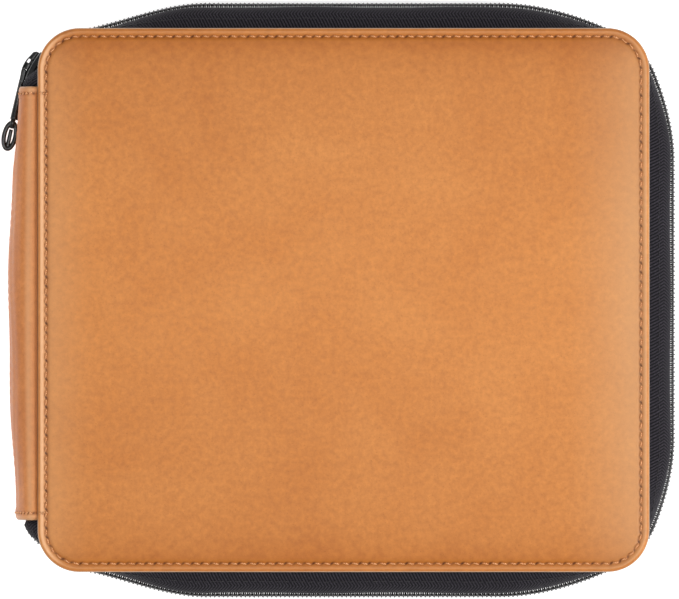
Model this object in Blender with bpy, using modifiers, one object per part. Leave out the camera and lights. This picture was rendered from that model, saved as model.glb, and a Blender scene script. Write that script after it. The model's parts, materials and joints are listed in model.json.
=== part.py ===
"""Zip-around leather organiser case, closed and lying on its back cover.

+X points away from the spine, +Y towards the end where the zip closes, +Z up through the front cover.
The origin is the centre of the back cover's flat underside. All sizes are in metres.
"""
import math

import bmesh
import bpy
import numpy as np
from mathutils import Matrix, Vector

# Covers
COVER_WIDTH = 0.2264
COVER_HEIGHT = 0.2013
COVER_RADIUS = 0.0155
CASE_DEPTH = 0.0420
MID_HEIGHT = CASE_DEPTH / 2
LEATHER = 0.0015
RIM_WIDTH = 0.0062
RIM_TOP = 0.0030
PADDING = (0.0018, 0.0026)
BOARD = (0.0029, 0.0042)
LINING = (0.0045, 0.0052)
BOARD_INSET = 0.0080
LINING_INSET = 0.0027
STITCH_INSET = 0.0031
GROOVE_RADIUS = 0.0010
THREAD_RADIUS = 0.00035
THREAD_DEPTH = 0.00037

# Elastic loop bands, on the linings and on the leaf
BAND_LENGTH = 0.196
BAND_HEIGHT = 0.060
BAND_THICKNESS = 0.0015
GAP = 0.0003

# Zip line seen from above: its outer edge bows out between the corners
TAPE = 0.0006
TAPE_FLANGE_Z = 0.00375
TAPE_FLANGE_INSET = 0.0042
TAPE_EDGE_INSET = 0.0009
TAPE_RISE = 0.0098
TAPE_EDGE_GAP = 0.0010
TAPE_DEPTH_IN_ZIP = 0.0024
COIL_RADIUS = 0.0009
COIL_DEPTH_IN_ZIP = 0.0011
COIL_HALF_GAP = 0.0012
ARC_CENTRE = Vector((-0.0894, 0.0725))
ARC_RADIUS = 0.0294
ARC_EXIT = 102.0
TOP_TAPE_START = 165.8
BOTTOM_TAPE_START = 160.4
ZIP_HALF_WIDTH = 0.1221
ZIP_HALF_HEIGHT = 0.1101
NOTCH_ANGLE = 131.0
NOTCH_HEIGHT = 0.0296

# Spine
HINGE_X = -0.11335
SPINE_TOP = 0.0786
SPINE_BOTTOM = -0.0810
SPINE_LEATHER = 0.0014
SPINE_LINING = 0.0005
SPINE_HALF_DEPTH = 0.02095
SPINE_BULGE = 0.0110
SPINE_HALF_LENGTH = 0.0800
SPINE_END_PINCH = 0.0055
DENT_DEPTH = 0.0020
DENT_CENTRE_Y = 0.0680
DENT_HALF_LENGTH = 0.0160
DENT_HALF_HEIGHT = 0.0055
STRIP_HALF_LENGTH = 0.0480

# Leaf
LEAF_RIGHT = 0.1030
LEAF_HINGE_X = -0.1095
LEAF_LEFT = -0.1092
LEAF_HALF_HEIGHT = 0.0900
LEAF_TAB_HALF_HEIGHT = 0.0520
LEAF_SHOULDER_X = (-0.1040, -0.0760)
LEAF_RADIUS = 0.0120
LEAF_BOARD = 0.0014
LEAF_CLOTH = 0.0006
BOARD_BACKSET = 0.0030
BOARD_LEFT = -0.1050
BINDING = 0.0014
BINDING_LEFT = -0.1070

# Slider, in polar places about the corner arc's centre
SLIDER_ANGLE = 151.5
SLIDER_SPAN = (139.0, 162.3)
SLIDER_HALF_HEIGHT = 0.0052
INNER_PLATE = (0.0253, 0.0262)
OUTER_PLATE = (0.0295, 0.0302)
LIP_BOTTOM = 0.0279
LIP_THICKNESS = 0.0008
LIP_SPAN = (139.6, 161.7)
LIP_OVERLAP = 0.0002
POST_RADII = (0.0257, 0.0299)
POST_HALF_HEIGHT = 0.00065
POST_SPAN = (158.0, 161.5)
CROWN_HALF_HEIGHT = 0.0014
CROWN_ARCH = (
    (-0.0052, 0.0306),
    (-0.0050, 0.0318),
    (-0.0038, 0.0329),
    (-0.0020, 0.0334),
    (0.0010, 0.0332),
    (0.0034, 0.0325),
    (0.0050, 0.0314),
    (0.0054, 0.0306),
)
CROWN_HOLE = (
    (-0.0038, 0.0311),
    (-0.0038, 0.0321),
    (-0.0030, 0.0326),
    (0.0008, 0.0325),
    (0.0026, 0.0318),
    (0.0030, 0.0311),
)
PIN_ALONG = -0.0029
PIN_RADIAL = 0.0318
PIN_RADIUS = 0.00045

# Pull
ARM_THICKNESS = 0.0013
ARM_TOP_HALF = 0.0024
ARM_END_HALF = 0.0020
FORK_HALF_GAP = 0.0017
FORK_LENGTH = 0.0042
FORK_BACK = -0.0030
PIN_HALF_LENGTH = 0.0021
EYE_RADIUS = 0.00145
RING_PIVOT = Vector((-0.12295, 0.0658))
RING_WIRE = 0.0008
RING_HALF_WIDTH = 0.0021
RING_HALF_LENGTH = 0.0049
RIB_START = 0.0025
RIB_RADIUS = 0.00045


def clear_scene():
    """Remove every object, so the script can be run twice."""
    for old in list(bpy.data.objects):
        bpy.data.objects.remove(old, do_unlink=True)


def new_collection(name):
    """Make a collection under the scene."""
    collection = bpy.data.collections.new(name)
    bpy.context.scene.collection.children.link(collection)
    return collection


clear_scene()
PARTS = new_collection("zip_around_case")
CUTTERS = new_collection("cutters")


def material(name, colour, roughness):
    """Make a Principled material."""
    made = bpy.data.materials.new(name)
    made.use_nodes = True
    shader = made.node_tree.nodes["Principled BSDF"]
    shader.inputs["Base Color"].default_value = (*colour, 1.0)
    shader.inputs["Roughness"].default_value = roughness
    return made


TAN = (0.66, 0.27, 0.085)
BLACK = (0.018, 0.016, 0.020)
CLOTH = (0.030, 0.028, 0.032)
BOARD_GREY = (0.35, 0.31, 0.26)
FOAM = (0.62, 0.60, 0.55)
THREAD = (0.40, 0.13, 0.035)


def finish_part(part, name, colour, roughness):
    """Name an object, give it its own material and put it with the parts."""
    part.name = name
    part.data.name = name
    part.data.materials.clear()
    part.data.materials.append(material(name, colour, roughness))
    for collection in list(part.users_collection):
        collection.objects.unlink(part)
    PARTS.objects.link(part)
    return part


def make_cutter(part, name):
    """Put an object with the cutters."""
    part.name = name
    part.hide_render = True
    part.display_type = "WIRE"
    for collection in list(part.users_collection):
        collection.objects.unlink(part)
    CUTTERS.objects.link(part)
    return part


def combine(target, tool, operation):
    """Add an exact Boolean of the tool to the target."""
    boolean = target.modifiers.new(tool.name, "BOOLEAN")
    boolean.object = tool
    boolean.operation = operation
    boolean.solver = "EXACT"


def object_from_curve(curve):
    """Turn a curve into a welded mesh object at its own place."""
    holder = bpy.data.objects.new("curve", curve)
    bpy.context.scene.collection.objects.link(holder)
    graph = bpy.context.evaluated_depsgraph_get()
    mesh = bpy.data.meshes.new_from_object(holder.evaluated_get(graph))
    bpy.data.objects.remove(holder, do_unlink=True)
    work = bmesh.new()
    work.from_mesh(mesh)
    bmesh.ops.remove_doubles(work, verts=work.verts, dist=0.000002)
    bmesh.ops.recalc_face_normals(work, faces=work.faces)
    work.to_mesh(mesh)
    work.free()
    made = bpy.data.objects.new("mesh", mesh)
    bpy.context.scene.collection.objects.link(made)
    return made


def plate(outlines, low, high):
    """Extrude flat outlines (the first is the edge, any others are holes) from low to high."""
    curve = bpy.data.curves.new("outline", "CURVE")
    curve.dimensions = "2D"
    curve.fill_mode = "BOTH"
    curve.extrude = abs(high - low) / 2
    for outline in outlines:
        spline = curve.splines.new("POLY")
        spline.points.add(len(outline) - 1)
        for point, (x, y) in zip(spline.points, outline):
            point.co = (x, y, 0, 1)
        spline.use_cyclic_u = True
    made = object_from_curve(curve)
    made.data.transform(Matrix.Translation((0, 0, (low + high) / 2)))
    return made


def tube(points, radius, closed, resolution=1):
    """Sweep a round section along points."""
    curve = bpy.data.curves.new("tube", "CURVE")
    curve.dimensions = "3D"
    curve.bevel_depth = radius
    curve.bevel_resolution = resolution
    curve.use_fill_caps = True
    spline = curve.splines.new("POLY")
    spline.points.add(len(points) - 1)
    for point, place in zip(spline.points, points):
        point.co = (*place, 1)
    spline.use_cyclic_u = closed
    return object_from_curve(curve)


def arc_points(centre, radius, start, end, steps):
    """Points along a flat arc, angles in degrees."""
    turns = np.radians(np.linspace(start, end, steps + 1))
    return [(centre[0] + radius * math.cos(t), centre[1] + radius * math.sin(t)) for t in turns]


def rounded_rectangle(inset, steps=6):
    """The cover's outline, drawn in by an inset."""
    half_x = COVER_WIDTH / 2 - COVER_RADIUS
    half_y = COVER_HEIGHT / 2 - COVER_RADIUS
    outline = []
    for start, sign_x, sign_y in ((0, 1, 1), (90, -1, 1), (180, -1, -1), (270, 1, -1)):
        centre = (sign_x * half_x, sign_y * half_y)
        outline += arc_points(centre, COVER_RADIUS - inset, start, start + 90, steps)
    return outline


def sheet(grid, thickness, name, colour, roughness):
    """A thin wall: a grid of places with Solidify, its surface in the middle of the thickness."""
    columns, rows = grid.shape[:2]
    index = np.arange(columns * rows).reshape(columns, rows)
    quads = np.stack((index[:-1, :-1], index[1:, :-1], index[1:, 1:], index[:-1, 1:]), axis=-1)
    mesh = bpy.data.meshes.new(name)
    mesh.from_pydata(grid.reshape(-1, 3).tolist(), [], quads.reshape(-1, 4).tolist())
    made = bpy.data.objects.new(name, mesh)
    bpy.context.scene.collection.objects.link(made)
    solidify = made.modifiers.new("thickness", "SOLIDIFY")
    solidify.thickness = thickness
    solidify.offset = 0
    return finish_part(made, name, colour, roughness)


def shade_round(part):
    """Shade a round piece smooth, with its hard edges kept."""
    part.data.shade_smooth()
    part.data.set_sharp_from_angle(angle=math.radians(40))


def hermite(start, end, steps):
    """Points on a smooth curve between two knots (x, y, heading in degrees), without the last."""
    x0, y0, heading0 = start
    x1, y1, heading1 = end
    reach = math.hypot(x1 - x0, y1 - y0)
    t = np.arange(steps) / steps
    points = []
    for first, last, slope0, slope1 in (
        (x0, x1, math.cos(math.radians(heading0)), math.cos(math.radians(heading1))),
        (y0, y1, math.sin(math.radians(heading0)), math.sin(math.radians(heading1))),
    ):
        points.append(
            (2 * t**3 - 3 * t**2 + 1) * first
            + (t**3 - 2 * t**2 + t) * reach * slope0
            + (3 * t**2 - 2 * t**3) * last
            + (t**3 - t**2) * reach * slope1
        )
    return np.stack(points, axis=-1)


def half_zip_line(start_angle, arc_steps):
    """The zip's outer edge from the spine's end to the middle of the far side, on the +Y half."""
    arc = np.array(arc_points(ARC_CENTRE, ARC_RADIUS, start_angle, ARC_EXIT, arc_steps))[:-1]
    leave = arc_points(ARC_CENTRE, ARC_RADIUS, ARC_EXIT, ARC_EXIT, 1)[0]
    knots = (
        ((*leave, ARC_EXIT - 90), 3),
        ((-0.0510, ZIP_HALF_HEIGHT, 0), 3),
        ((0.0580, ZIP_HALF_HEIGHT, 0), 4),
        ((0.0975, 0.1009, -24), 4),
        ((0.1148, 0.0835, -68), 3),
        ((ZIP_HALF_WIDTH, 0.0518, -90), 2),
        ((ZIP_HALF_WIDTH, 0.0, -90), 0),
    )
    stretches = [arc]
    for (knot, steps), (following, _) in zip(knots, knots[1:]):
        stretches.append(hermite(knot, following, steps))
    stretches.append(np.array([knots[-1][0][:2]]))
    return np.concatenate(stretches)


def zip_line(inset, top_start=TOP_TAPE_START, bottom_start=BOTTOM_TAPE_START):
    """The whole zip line drawn in by an inset, from the spine's +Y end round to its -Y end."""
    top = half_zip_line(top_start, 12)
    bottom = half_zip_line(bottom_start, 11)[::-1] * (1, -1)
    line = np.concatenate((top, bottom[1:]))
    along = np.gradient(line, axis=0)
    along /= np.linalg.norm(along, axis=1)[:, None]
    outward = np.stack((-along[:, 1], along[:, 0]), axis=-1)
    outward[0] = outward_of_arc(top_start, 1)
    outward[-1] = outward_of_arc(bottom_start, -1)
    return line - outward * inset


def outward_of_arc(angle, side):
    """The direction straight out of a corner arc at an angle; side -1 is the -Y corner."""
    turn = math.radians(angle)
    return np.array((math.cos(turn), side * math.sin(turn)))


def nearest_cover_edge(line, inset):
    """For each place, the nearest place on the cover's outline drawn in by an inset."""
    core = np.array((COVER_WIDTH / 2 - COVER_RADIUS, COVER_HEIGHT / 2 - COVER_RADIUS))
    inside = np.clip(line, -core, core)
    away = line - inside
    away /= np.linalg.norm(away, axis=1)[:, None]
    return inside + away * (COVER_RADIUS - inset)


def flip(height, front):
    """A height above the back cover, or the same height below the front cover's face."""
    return CASE_DEPTH - height if front else height


def cover_leather(side, front):
    """Outer leather: a panel with a turned edge standing round a shallow tray, and a stitch groove."""
    panel = plate([rounded_rectangle(0)], flip(0, front), flip(RIM_TOP, front))
    tray = plate([rounded_rectangle(RIM_WIDTH)], flip(LEATHER, front), flip(RIM_TOP + 0.001, front))
    combine(panel, make_cutter(tray, side + "_tray_cutter"), "DIFFERENCE")
    groove_line = [(x, y, flip(0, front)) for x, y in rounded_rectangle(STITCH_INSET)]
    groove = tube(groove_line, GROOVE_RADIUS, True)
    combine(panel, make_cutter(groove, side + "_groove_cutter"), "DIFFERENCE")
    finish_part(panel, side + "_leather", TAN, 0.45)


def cover_stitching(side, front):
    """The thread line that lies in the stitch groove."""
    line = [(x, y, flip(THREAD_DEPTH, front)) for x, y in rounded_rectangle(STITCH_INSET)]
    thread = finish_part(tube(line, THREAD_RADIUS, True), side + "_stitching", THREAD, 0.6)
    shade_round(thread)


def cover_inside(side, front):
    """Padding, board, lining and the elastic loop band of one cover."""
    for name, span, inset, colour, roughness in (
        ("_padding", PADDING, BOARD_INSET, FOAM, 0.9),
        ("_board", BOARD, BOARD_INSET, BOARD_GREY, 0.8),
        ("_lining", LINING, LINING_INSET, CLOTH, 0.85),
    ):
        layer = plate([rounded_rectangle(inset)], flip(span[0], front), flip(span[1], front))
        finish_part(layer, side + name, colour, roughness)
    low = LINING[1] + GAP
    band = plate([band_outline()], flip(low, front), flip(low + BAND_THICKNESS, front))
    finish_part(band, side + "_loop_band", BLACK, 0.8)


def band_outline():
    """The rectangle of an elastic band."""
    x = BAND_LENGTH / 2
    y = BAND_HEIGHT / 2
    return [(-x, -y), (x, -y), (x, y), (-x, y)]


def tape_heights(line, front):
    """How far each column of the tape rises from the cover it is sewn to."""
    full = MID_HEIGHT - TAPE_EDGE_GAP - TAPE_FLANGE_Z
    rise = np.full(len(line), full)
    if front:
        angle = np.degrees(np.arctan2(line[:, 1] - ARC_CENTRE[1], line[:, 0] - ARC_CENTRE[0]))
        rise[angle > NOTCH_ANGLE] = CASE_DEPTH - NOTCH_HEIGHT - TAPE_FLANGE_Z
    return rise


def zip_tape(side, front):
    """Half of the gusset: sewn flat under the lining, out over the cover's edge, up to the zip.

    Between the cover and the zip line it bows out fast and then stands straight up. The front half
    stops short above the slider.
    """
    line = zip_line(TAPE_DEPTH_IN_ZIP)
    sewn = nearest_cover_edge(line, TAPE_FLANGE_INSET)
    edge = nearest_cover_edge(line, TAPE_EDGE_INSET)
    rise = tape_heights(line, front)
    grid = np.zeros((len(line), 6, 3))
    grid[:, 0, :2] = sewn
    grid[:, 0, 2] = TAPE_FLANGE_Z
    for row, share in enumerate((0.0, 0.16, 0.36, 0.62, 1.0), start=1):
        height = rise * share
        out = 1 - (1 - np.clip(height / TAPE_RISE, 0, 1)) ** 2
        grid[:, row, :2] = edge + (line - edge) * out[:, None]
        grid[:, row, 2] = TAPE_FLANGE_Z + height
    if front:
        grid[:, :, 2] = CASE_DEPTH - grid[:, :, 2]
    sheet(grid, TAPE, side + "_zip_tape", BLACK, 0.85)


def zip_coil(side, front):
    """One half of the closed coil, from inside the slider round to the zip's far end."""
    line = zip_line(COIL_DEPTH_IN_ZIP, top_start=SLIDER_ANGLE + 3)
    height = MID_HEIGHT - COIL_HALF_GAP
    coil = tube([(x, y, flip(height, front)) for x, y in line], COIL_RADIUS, False)
    finish_part(coil, side + "_zip_coil", BLACK, 0.3)
    shade_round(coil)


def spine_surface(along, around, inset):
    """The spine's curved wall: half an ellipse in each section, pinched at both ends.

    The soft leather also gives way a little where the pull lies against it.
    """
    y = along[:, None]
    turn = around[None, :]
    half = SPINE_HALF_DEPTH - inset
    z = MID_HEIGHT + half * np.sin(turn) + 0 * y
    pinch = SPINE_END_PINCH * (y / SPINE_HALF_LENGTH) ** 2
    dent = DENT_DEPTH * np.exp(-(((y - DENT_CENTRE_Y) / DENT_HALF_LENGTH) ** 2))
    dent = dent * np.exp(-(((z - MID_HEIGHT) / DENT_HALF_HEIGHT) ** 2))
    bulge = (SPINE_BULGE - pinch - inset) * np.cos(turn) - dent * np.cos(turn)
    x = HINGE_X - GAP - bulge
    return np.stack(np.broadcast_arrays(x, y, z), axis=-1)


def spine():
    """Spine leather and its lining."""
    turn = np.radians(np.linspace(-90, 90, 15))
    along = np.linspace(SPINE_BOTTOM, SPINE_TOP, 17)
    outer = spine_surface(along, turn, SPINE_LEATHER / 2)
    sheet(outer, SPINE_LEATHER, "spine_leather", TAN, 0.45)
    inner_inset = SPINE_LEATHER + 2 * GAP + SPINE_LINING / 2
    along = np.linspace(SPINE_BOTTOM + 0.001, SPINE_TOP - 0.001, 17)
    inner = spine_surface(along, turn, inner_inset)
    sheet(inner, SPINE_LINING, "spine_lining", CLOTH, 0.85)


def leaf_hinge_strip():
    """Cloth strip from the middle of the spine lining to the leaf's edge."""
    along = np.linspace(-STRIP_HALF_LENGTH, STRIP_HALF_LENGTH, 13)
    inset = SPINE_LEATHER + 2 * GAP + SPINE_LINING + 2 * GAP
    back = spine_surface(along, np.zeros(1), inset)[:, 0]
    edge = back.copy()
    edge[:, 0] = LEAF_HINGE_X - GAP
    grid = np.stack((back, (back + edge) / 2, edge), axis=1)
    sheet(grid, LEAF_CLOTH, "leaf_hinge_strip", CLOTH, 0.85)


def leaf_outline(grow, left=LEAF_LEFT):
    """The leaf's edge. It tapers to a tab towards the spine, which passes the slider, pull and tapes."""
    right = LEAF_RIGHT + grow
    top = LEAF_HALF_HEIGHT + grow
    tab = LEAF_TAB_HALF_HEIGHT + grow
    upper = arc_points((right - LEAF_RADIUS, top - LEAF_RADIUS), LEAF_RADIUS, 0, 90, 6)
    upper += [(LEAF_SHOULDER_X[1] - grow, top), (LEAF_SHOULDER_X[0] - grow, tab), (left, tab)]
    return upper + [(x, -y) for x, y in reversed(upper)]


def leaf():
    """Board, cloth faces, edge binding and two elastic bands of the loose leaf."""
    half_board = LEAF_BOARD / 2
    outline = leaf_outline(-BOARD_BACKSET, BOARD_LEFT)
    board = plate([outline], MID_HEIGHT - half_board, MID_HEIGHT + half_board)
    finish_part(board, "leaf_board", BOARD_GREY, 0.8)
    for name, sign in (("back", -1), ("front", 1)):
        near = MID_HEIGHT + sign * (half_board + GAP)
        far = near + sign * LEAF_CLOTH
        face = plate([leaf_outline(0)], near, far)
        finish_part(face, "leaf_cloth_" + name, CLOTH, 0.85)
        near = far + sign * GAP
        band = plate([band_outline()], near, near + sign * BAND_THICKNESS)
        finish_part(band, "leaf_loop_band_" + name, BLACK, 0.8)
    reach = half_board + GAP + LEAF_CLOTH
    edges = []
    for grow in (GAP + BINDING, GAP):
        loop = leaf_outline(grow, BINDING_LEFT)
        half = len(loop) // 2
        edges.append(loop[half:] + loop[:half])
    strip = edges[0] + edges[1][::-1]
    binding = plate([strip], MID_HEIGHT - reach, MID_HEIGHT + reach)
    finish_part(binding, "leaf_binding", BLACK, 0.7)


def polar_block(radii, heights, angles, steps=6):
    """A block bent round the corner arc's centre."""
    outline = arc_points(ARC_CENTRE, radii[1], angles[0], angles[1], steps)
    outline += arc_points(ARC_CENTRE, radii[0], angles[1], angles[0], steps)
    return plate([outline], MID_HEIGHT + heights[0], MID_HEIGHT + heights[1])


def slider_body():
    """Two plates joined by the post that parts the coils; lips hold the tapes in side slots."""
    high = SLIDER_HALF_HEIGHT
    body = polar_block(OUTER_PLATE, (-high, high), SLIDER_SPAN)
    lip = (LIP_BOTTOM, OUTER_PLATE[1] - LIP_OVERLAP)
    side = high + LIP_OVERLAP
    pieces = (
        ("inner_plate", polar_block(INNER_PLATE, (-high, high), SLIDER_SPAN)),
        ("lower_lip", polar_block(lip, (-side, LIP_THICKNESS - high), LIP_SPAN)),
        ("upper_lip", polar_block(lip, (high - LIP_THICKNESS, side), LIP_SPAN)),
        ("post", polar_block(POST_RADII, (-POST_HALF_HEIGHT, POST_HALF_HEIGHT), POST_SPAN, 2)),
    )
    combine(body, make_cutter(pieces[3][1], pieces[3][0]), "UNION")
    for name, piece in pieces[:3]:
        combine(body, make_cutter(piece, name), "UNION")
    finish_part(body, "slider_body", BLACK, 0.2)


def slider_place(along, radial):
    """A place in the slider's own directions: along the zip away from the spine, and outwards."""
    turn = math.radians(SLIDER_ANGLE)
    outward = Vector((math.cos(turn), math.sin(turn)))
    forward = Vector((math.sin(turn), -math.cos(turn)))
    return ARC_CENTRE + outward * radial + forward * along


def slider_crown():
    """The bridge over the outer plate, with the opening that the pull's pin runs in."""
    outlines = [[slider_place(*place) for place in ring] for ring in (CROWN_ARCH, CROWN_HOLE)]
    crown = plate(outlines, MID_HEIGHT - CROWN_HALF_HEIGHT, MID_HEIGHT + CROWN_HALF_HEIGHT)
    finish_part(crown, "slider_crown", BLACK, 0.2)


def pull_frame():
    """Pin place, the arm's direction in plan, and a matrix from arm space to the world.

    Arm space runs +X from the pin to the ring, +Y up and +Z out of the strip's flat side.
    """
    pin = slider_place(PIN_ALONG, PIN_RADIAL)
    direction = (RING_PIVOT - pin).normalized()
    rotation = Matrix(
        (
            (direction.x, 0, direction.y),
            (direction.y, 0, -direction.x),
            (0, 1, 0),
        )
    ).to_4x4()
    return pin, direction, Matrix.Translation((pin.x, pin.y, MID_HEIGHT)) @ rotation


def pull_arm():
    """A flat strip, forked round the crown with a pin across, and an eye at the ring's end."""
    pin, direction, place = pull_frame()
    length = (RING_PIVOT - pin).length
    outline = arc_points((0.0, 0.0), ARM_TOP_HALF, 90, 270, 8)
    outline = [(x * 0.4, y) for x, y in outline]
    outline += arc_points((length, 0.0), ARM_END_HALF, -90, 90, 8)
    eye = arc_points((length, 0.0), EYE_RADIUS, 0, 330, 11)
    arm = plate([outline, eye], -ARM_THICKNESS / 2, ARM_THICKNESS / 2)
    fork_outline = ((FORK_BACK, -FORK_HALF_GAP), (FORK_LENGTH, -FORK_HALF_GAP),
                    (FORK_LENGTH, FORK_HALF_GAP), (FORK_BACK, FORK_HALF_GAP))
    fork = plate([fork_outline], -ARM_THICKNESS, ARM_THICKNESS)
    pin_rod = tube([(0, -PIN_HALF_LENGTH, 0), (0, PIN_HALF_LENGTH, 0)], PIN_RADIUS, False, 2)
    for piece in (arm, fork, pin_rod):
        piece.data.transform(place)
    combine(arm, make_cutter(fork, "fork_cutter"), "DIFFERENCE")
    combine(arm, make_cutter(pin_rod, "pin_rod"), "UNION")
    finish_part(arm, "pull_arm", BLACK, 0.2)


def pull_ring():
    """An oval wire ring with a rib up its middle, hung in the arm's eye."""
    pin, direction, _ = pull_frame()
    across = Vector((-direction.y, direction.x))
    centre = RING_PIVOT + direction * RING_HALF_LENGTH
    turns = np.radians(np.arange(0, 360, 15))
    loop = []
    for turn in turns:
        flat = centre + across * (RING_HALF_WIDTH * math.sin(turn)) - direction * (
            RING_HALF_LENGTH * math.cos(turn))
        loop.append((flat.x, flat.y, MID_HEIGHT))
    ring = tube(loop, RING_WIRE, True, 2)
    start = RING_PIVOT + direction * RIB_START
    end = RING_PIVOT + direction * (2 * RING_HALF_LENGTH)
    rib = tube([(start.x, start.y, MID_HEIGHT), (end.x, end.y, MID_HEIGHT)], RIB_RADIUS, False, 2)
    combine(ring, make_cutter(rib, "ring_rib"), "UNION")
    finish_part(ring, "pull_ring", BLACK, 0.2)
    shade_round(ring)


for cover_side, is_front in (("back", False), ("front", True)):
    cover_leather(cover_side, is_front)
    cover_stitching(cover_side, is_front)
    cover_inside(cover_side, is_front)
    zip_tape(cover_side, is_front)
    zip_coil(cover_side, is_front)
spine()
leaf_hinge_strip()
leaf()
slider_body()
slider_crown()
pull_arm()
pull_ring()
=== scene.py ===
"""Looks of the zip-around organiser case: tan leather covers and spine, black coil zip, cloth inside."""

import json
import math

import bmesh
import bpy
import numpy as np
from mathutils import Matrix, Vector


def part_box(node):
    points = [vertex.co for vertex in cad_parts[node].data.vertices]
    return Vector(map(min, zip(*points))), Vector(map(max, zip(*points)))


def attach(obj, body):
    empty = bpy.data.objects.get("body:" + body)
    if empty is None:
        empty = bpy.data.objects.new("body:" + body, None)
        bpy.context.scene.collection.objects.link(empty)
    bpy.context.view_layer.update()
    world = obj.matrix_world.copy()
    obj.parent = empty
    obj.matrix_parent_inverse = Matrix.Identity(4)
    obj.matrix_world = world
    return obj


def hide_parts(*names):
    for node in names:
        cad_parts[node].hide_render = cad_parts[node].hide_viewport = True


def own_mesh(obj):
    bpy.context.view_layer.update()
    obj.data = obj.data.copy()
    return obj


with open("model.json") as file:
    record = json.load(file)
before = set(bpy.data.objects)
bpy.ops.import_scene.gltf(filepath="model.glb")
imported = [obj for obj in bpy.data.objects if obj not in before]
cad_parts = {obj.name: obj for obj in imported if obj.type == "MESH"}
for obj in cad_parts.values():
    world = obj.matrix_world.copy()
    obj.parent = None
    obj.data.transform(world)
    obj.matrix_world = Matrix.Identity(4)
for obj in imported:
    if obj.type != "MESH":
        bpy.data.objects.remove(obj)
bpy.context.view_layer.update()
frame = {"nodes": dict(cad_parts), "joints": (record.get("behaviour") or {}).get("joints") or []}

# ---- Places read from the frame, in metres

cover_low, cover_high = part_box("front_leather")
HALF_X = (cover_high.x - cover_low.x) / 2
HALF_Y = (cover_high.y - cover_low.y) / 2
DEPTH = cover_high.z
MID = DEPTH / 2
CORNER = 0.0155
JOINTS = {joint["name"]: joint for joint in frame["joints"]}
HINGE_X = JOINTS["spine_fold"]["pos_m"][0]
ARC_X, ARC_Y, _ = JOINTS["zip_travel"]["pos_m"]
spine_low, spine_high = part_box("spine_leather")
lining_low, lining_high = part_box("back_lining")
leaf_low, leaf_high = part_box("leaf_cloth_front")

STITCH_INSET = 0.0031
STITCH_PITCH = 0.00345
TOOTH_PITCH = 0.00163
ZIP_HALF_X = 0.1234
ZIP_HALF_Y = 0.1108
ZIP_ARC_RADIUS = 0.0294
ZIP_ARC_START = 165.8
SLIDER_TURN = 151.5
HEM_INSET = 0.0022
HEM_ROWS = (spine_high.y - HEM_INSET, spine_low.y + HEM_INSET)
TACK_X = (0.0009, 0.0021, STITCH_INSET)
FLOOR_Z = -0.0009  # just under the puffed back panel


# ---- Mesh tools

def mesh_object(name, points, face_groups, uv=None, masks=None, smooth=True):
    """Make an object from an (n, 3) array of places and arrays of faces, one array for each face size."""
    mesh = bpy.data.meshes.new(name)
    mesh.vertices.add(len(points))
    mesh.vertices.foreach_set("co", np.asarray(points, np.float32).ravel())
    corners = np.concatenate([group.ravel() for group in face_groups]).astype(np.int32)
    sizes = np.concatenate([np.full(len(group), group.shape[1]) for group in face_groups])
    mesh.loops.add(len(corners))
    mesh.loops.foreach_set("vertex_index", corners)
    mesh.polygons.add(len(sizes))
    mesh.polygons.foreach_set("loop_start", np.concatenate(([0], np.cumsum(sizes)[:-1])).astype(np.int32))
    mesh.polygons.foreach_set("use_smooth", np.full(len(sizes), smooth))
    mesh.update(calc_edges=True)
    mesh.validate()
    if uv is not None:
        layer = mesh.uv_layers.new(name="cloth")
        layer.data.foreach_set("uv", np.asarray(uv, np.float32).ravel())
    for label, values in (masks or {}).items():
        attribute = mesh.attributes.new(label, "FLOAT", "POINT")
        attribute.data.foreach_set("value", np.asarray(values, np.float32).ravel())
    made = bpy.data.objects.new(name, mesh)
    bpy.context.scene.collection.objects.link(made)
    return made


def grid_object(name, grid, wrap_u=False, wrap_v=False, uv=None, masks=None, ends=False):
    """Skin a (rows, columns, 3) grid of places with quads; uv is a value for each row and each column.

    ends closes the first and last row of a wrapped tube with one face each.
    """
    rows, columns = grid.shape[:2]
    a, b = np.meshgrid(np.arange(rows - (not wrap_u)), np.arange(columns - (not wrap_v)), indexing="ij")
    a, b = a.ravel(), b.ravel()
    next_a, next_b = (a + 1) % rows, (b + 1) % columns
    quads = np.stack((a * columns + b, next_a * columns + b,
                      next_a * columns + next_b, a * columns + next_b), 1)
    groups = [quads]
    if ends:
        first = np.arange(columns)[None, :]
        groups.append(np.concatenate((first, (rows - 1) * columns + first[:, ::-1])))
    corner_uv = None
    if uv is not None:
        u, v = (np.asarray(values) for values in uv)
        corner_u = np.stack((u[a], u[a + 1], u[a + 1], u[a]), 1)
        corner_v = np.stack((v[b], v[b], v[b + 1], v[b + 1]), 1)
        corner_uv = np.stack((corner_u, corner_v), -1)
        if ends:
            corner_uv = np.concatenate((corner_uv.reshape(-1, 2), np.zeros((2 * columns, 2))))
    return mesh_object(name, grid.reshape(-1, 3), groups, corner_uv, masks)


def fix_outside(piece):
    """Turn every closed shell's faces outwards."""
    work = bmesh.new()
    work.from_mesh(piece.data)
    bmesh.ops.recalc_face_normals(work, faces=work.faces)
    work.to_mesh(piece.data)
    work.free()


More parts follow.
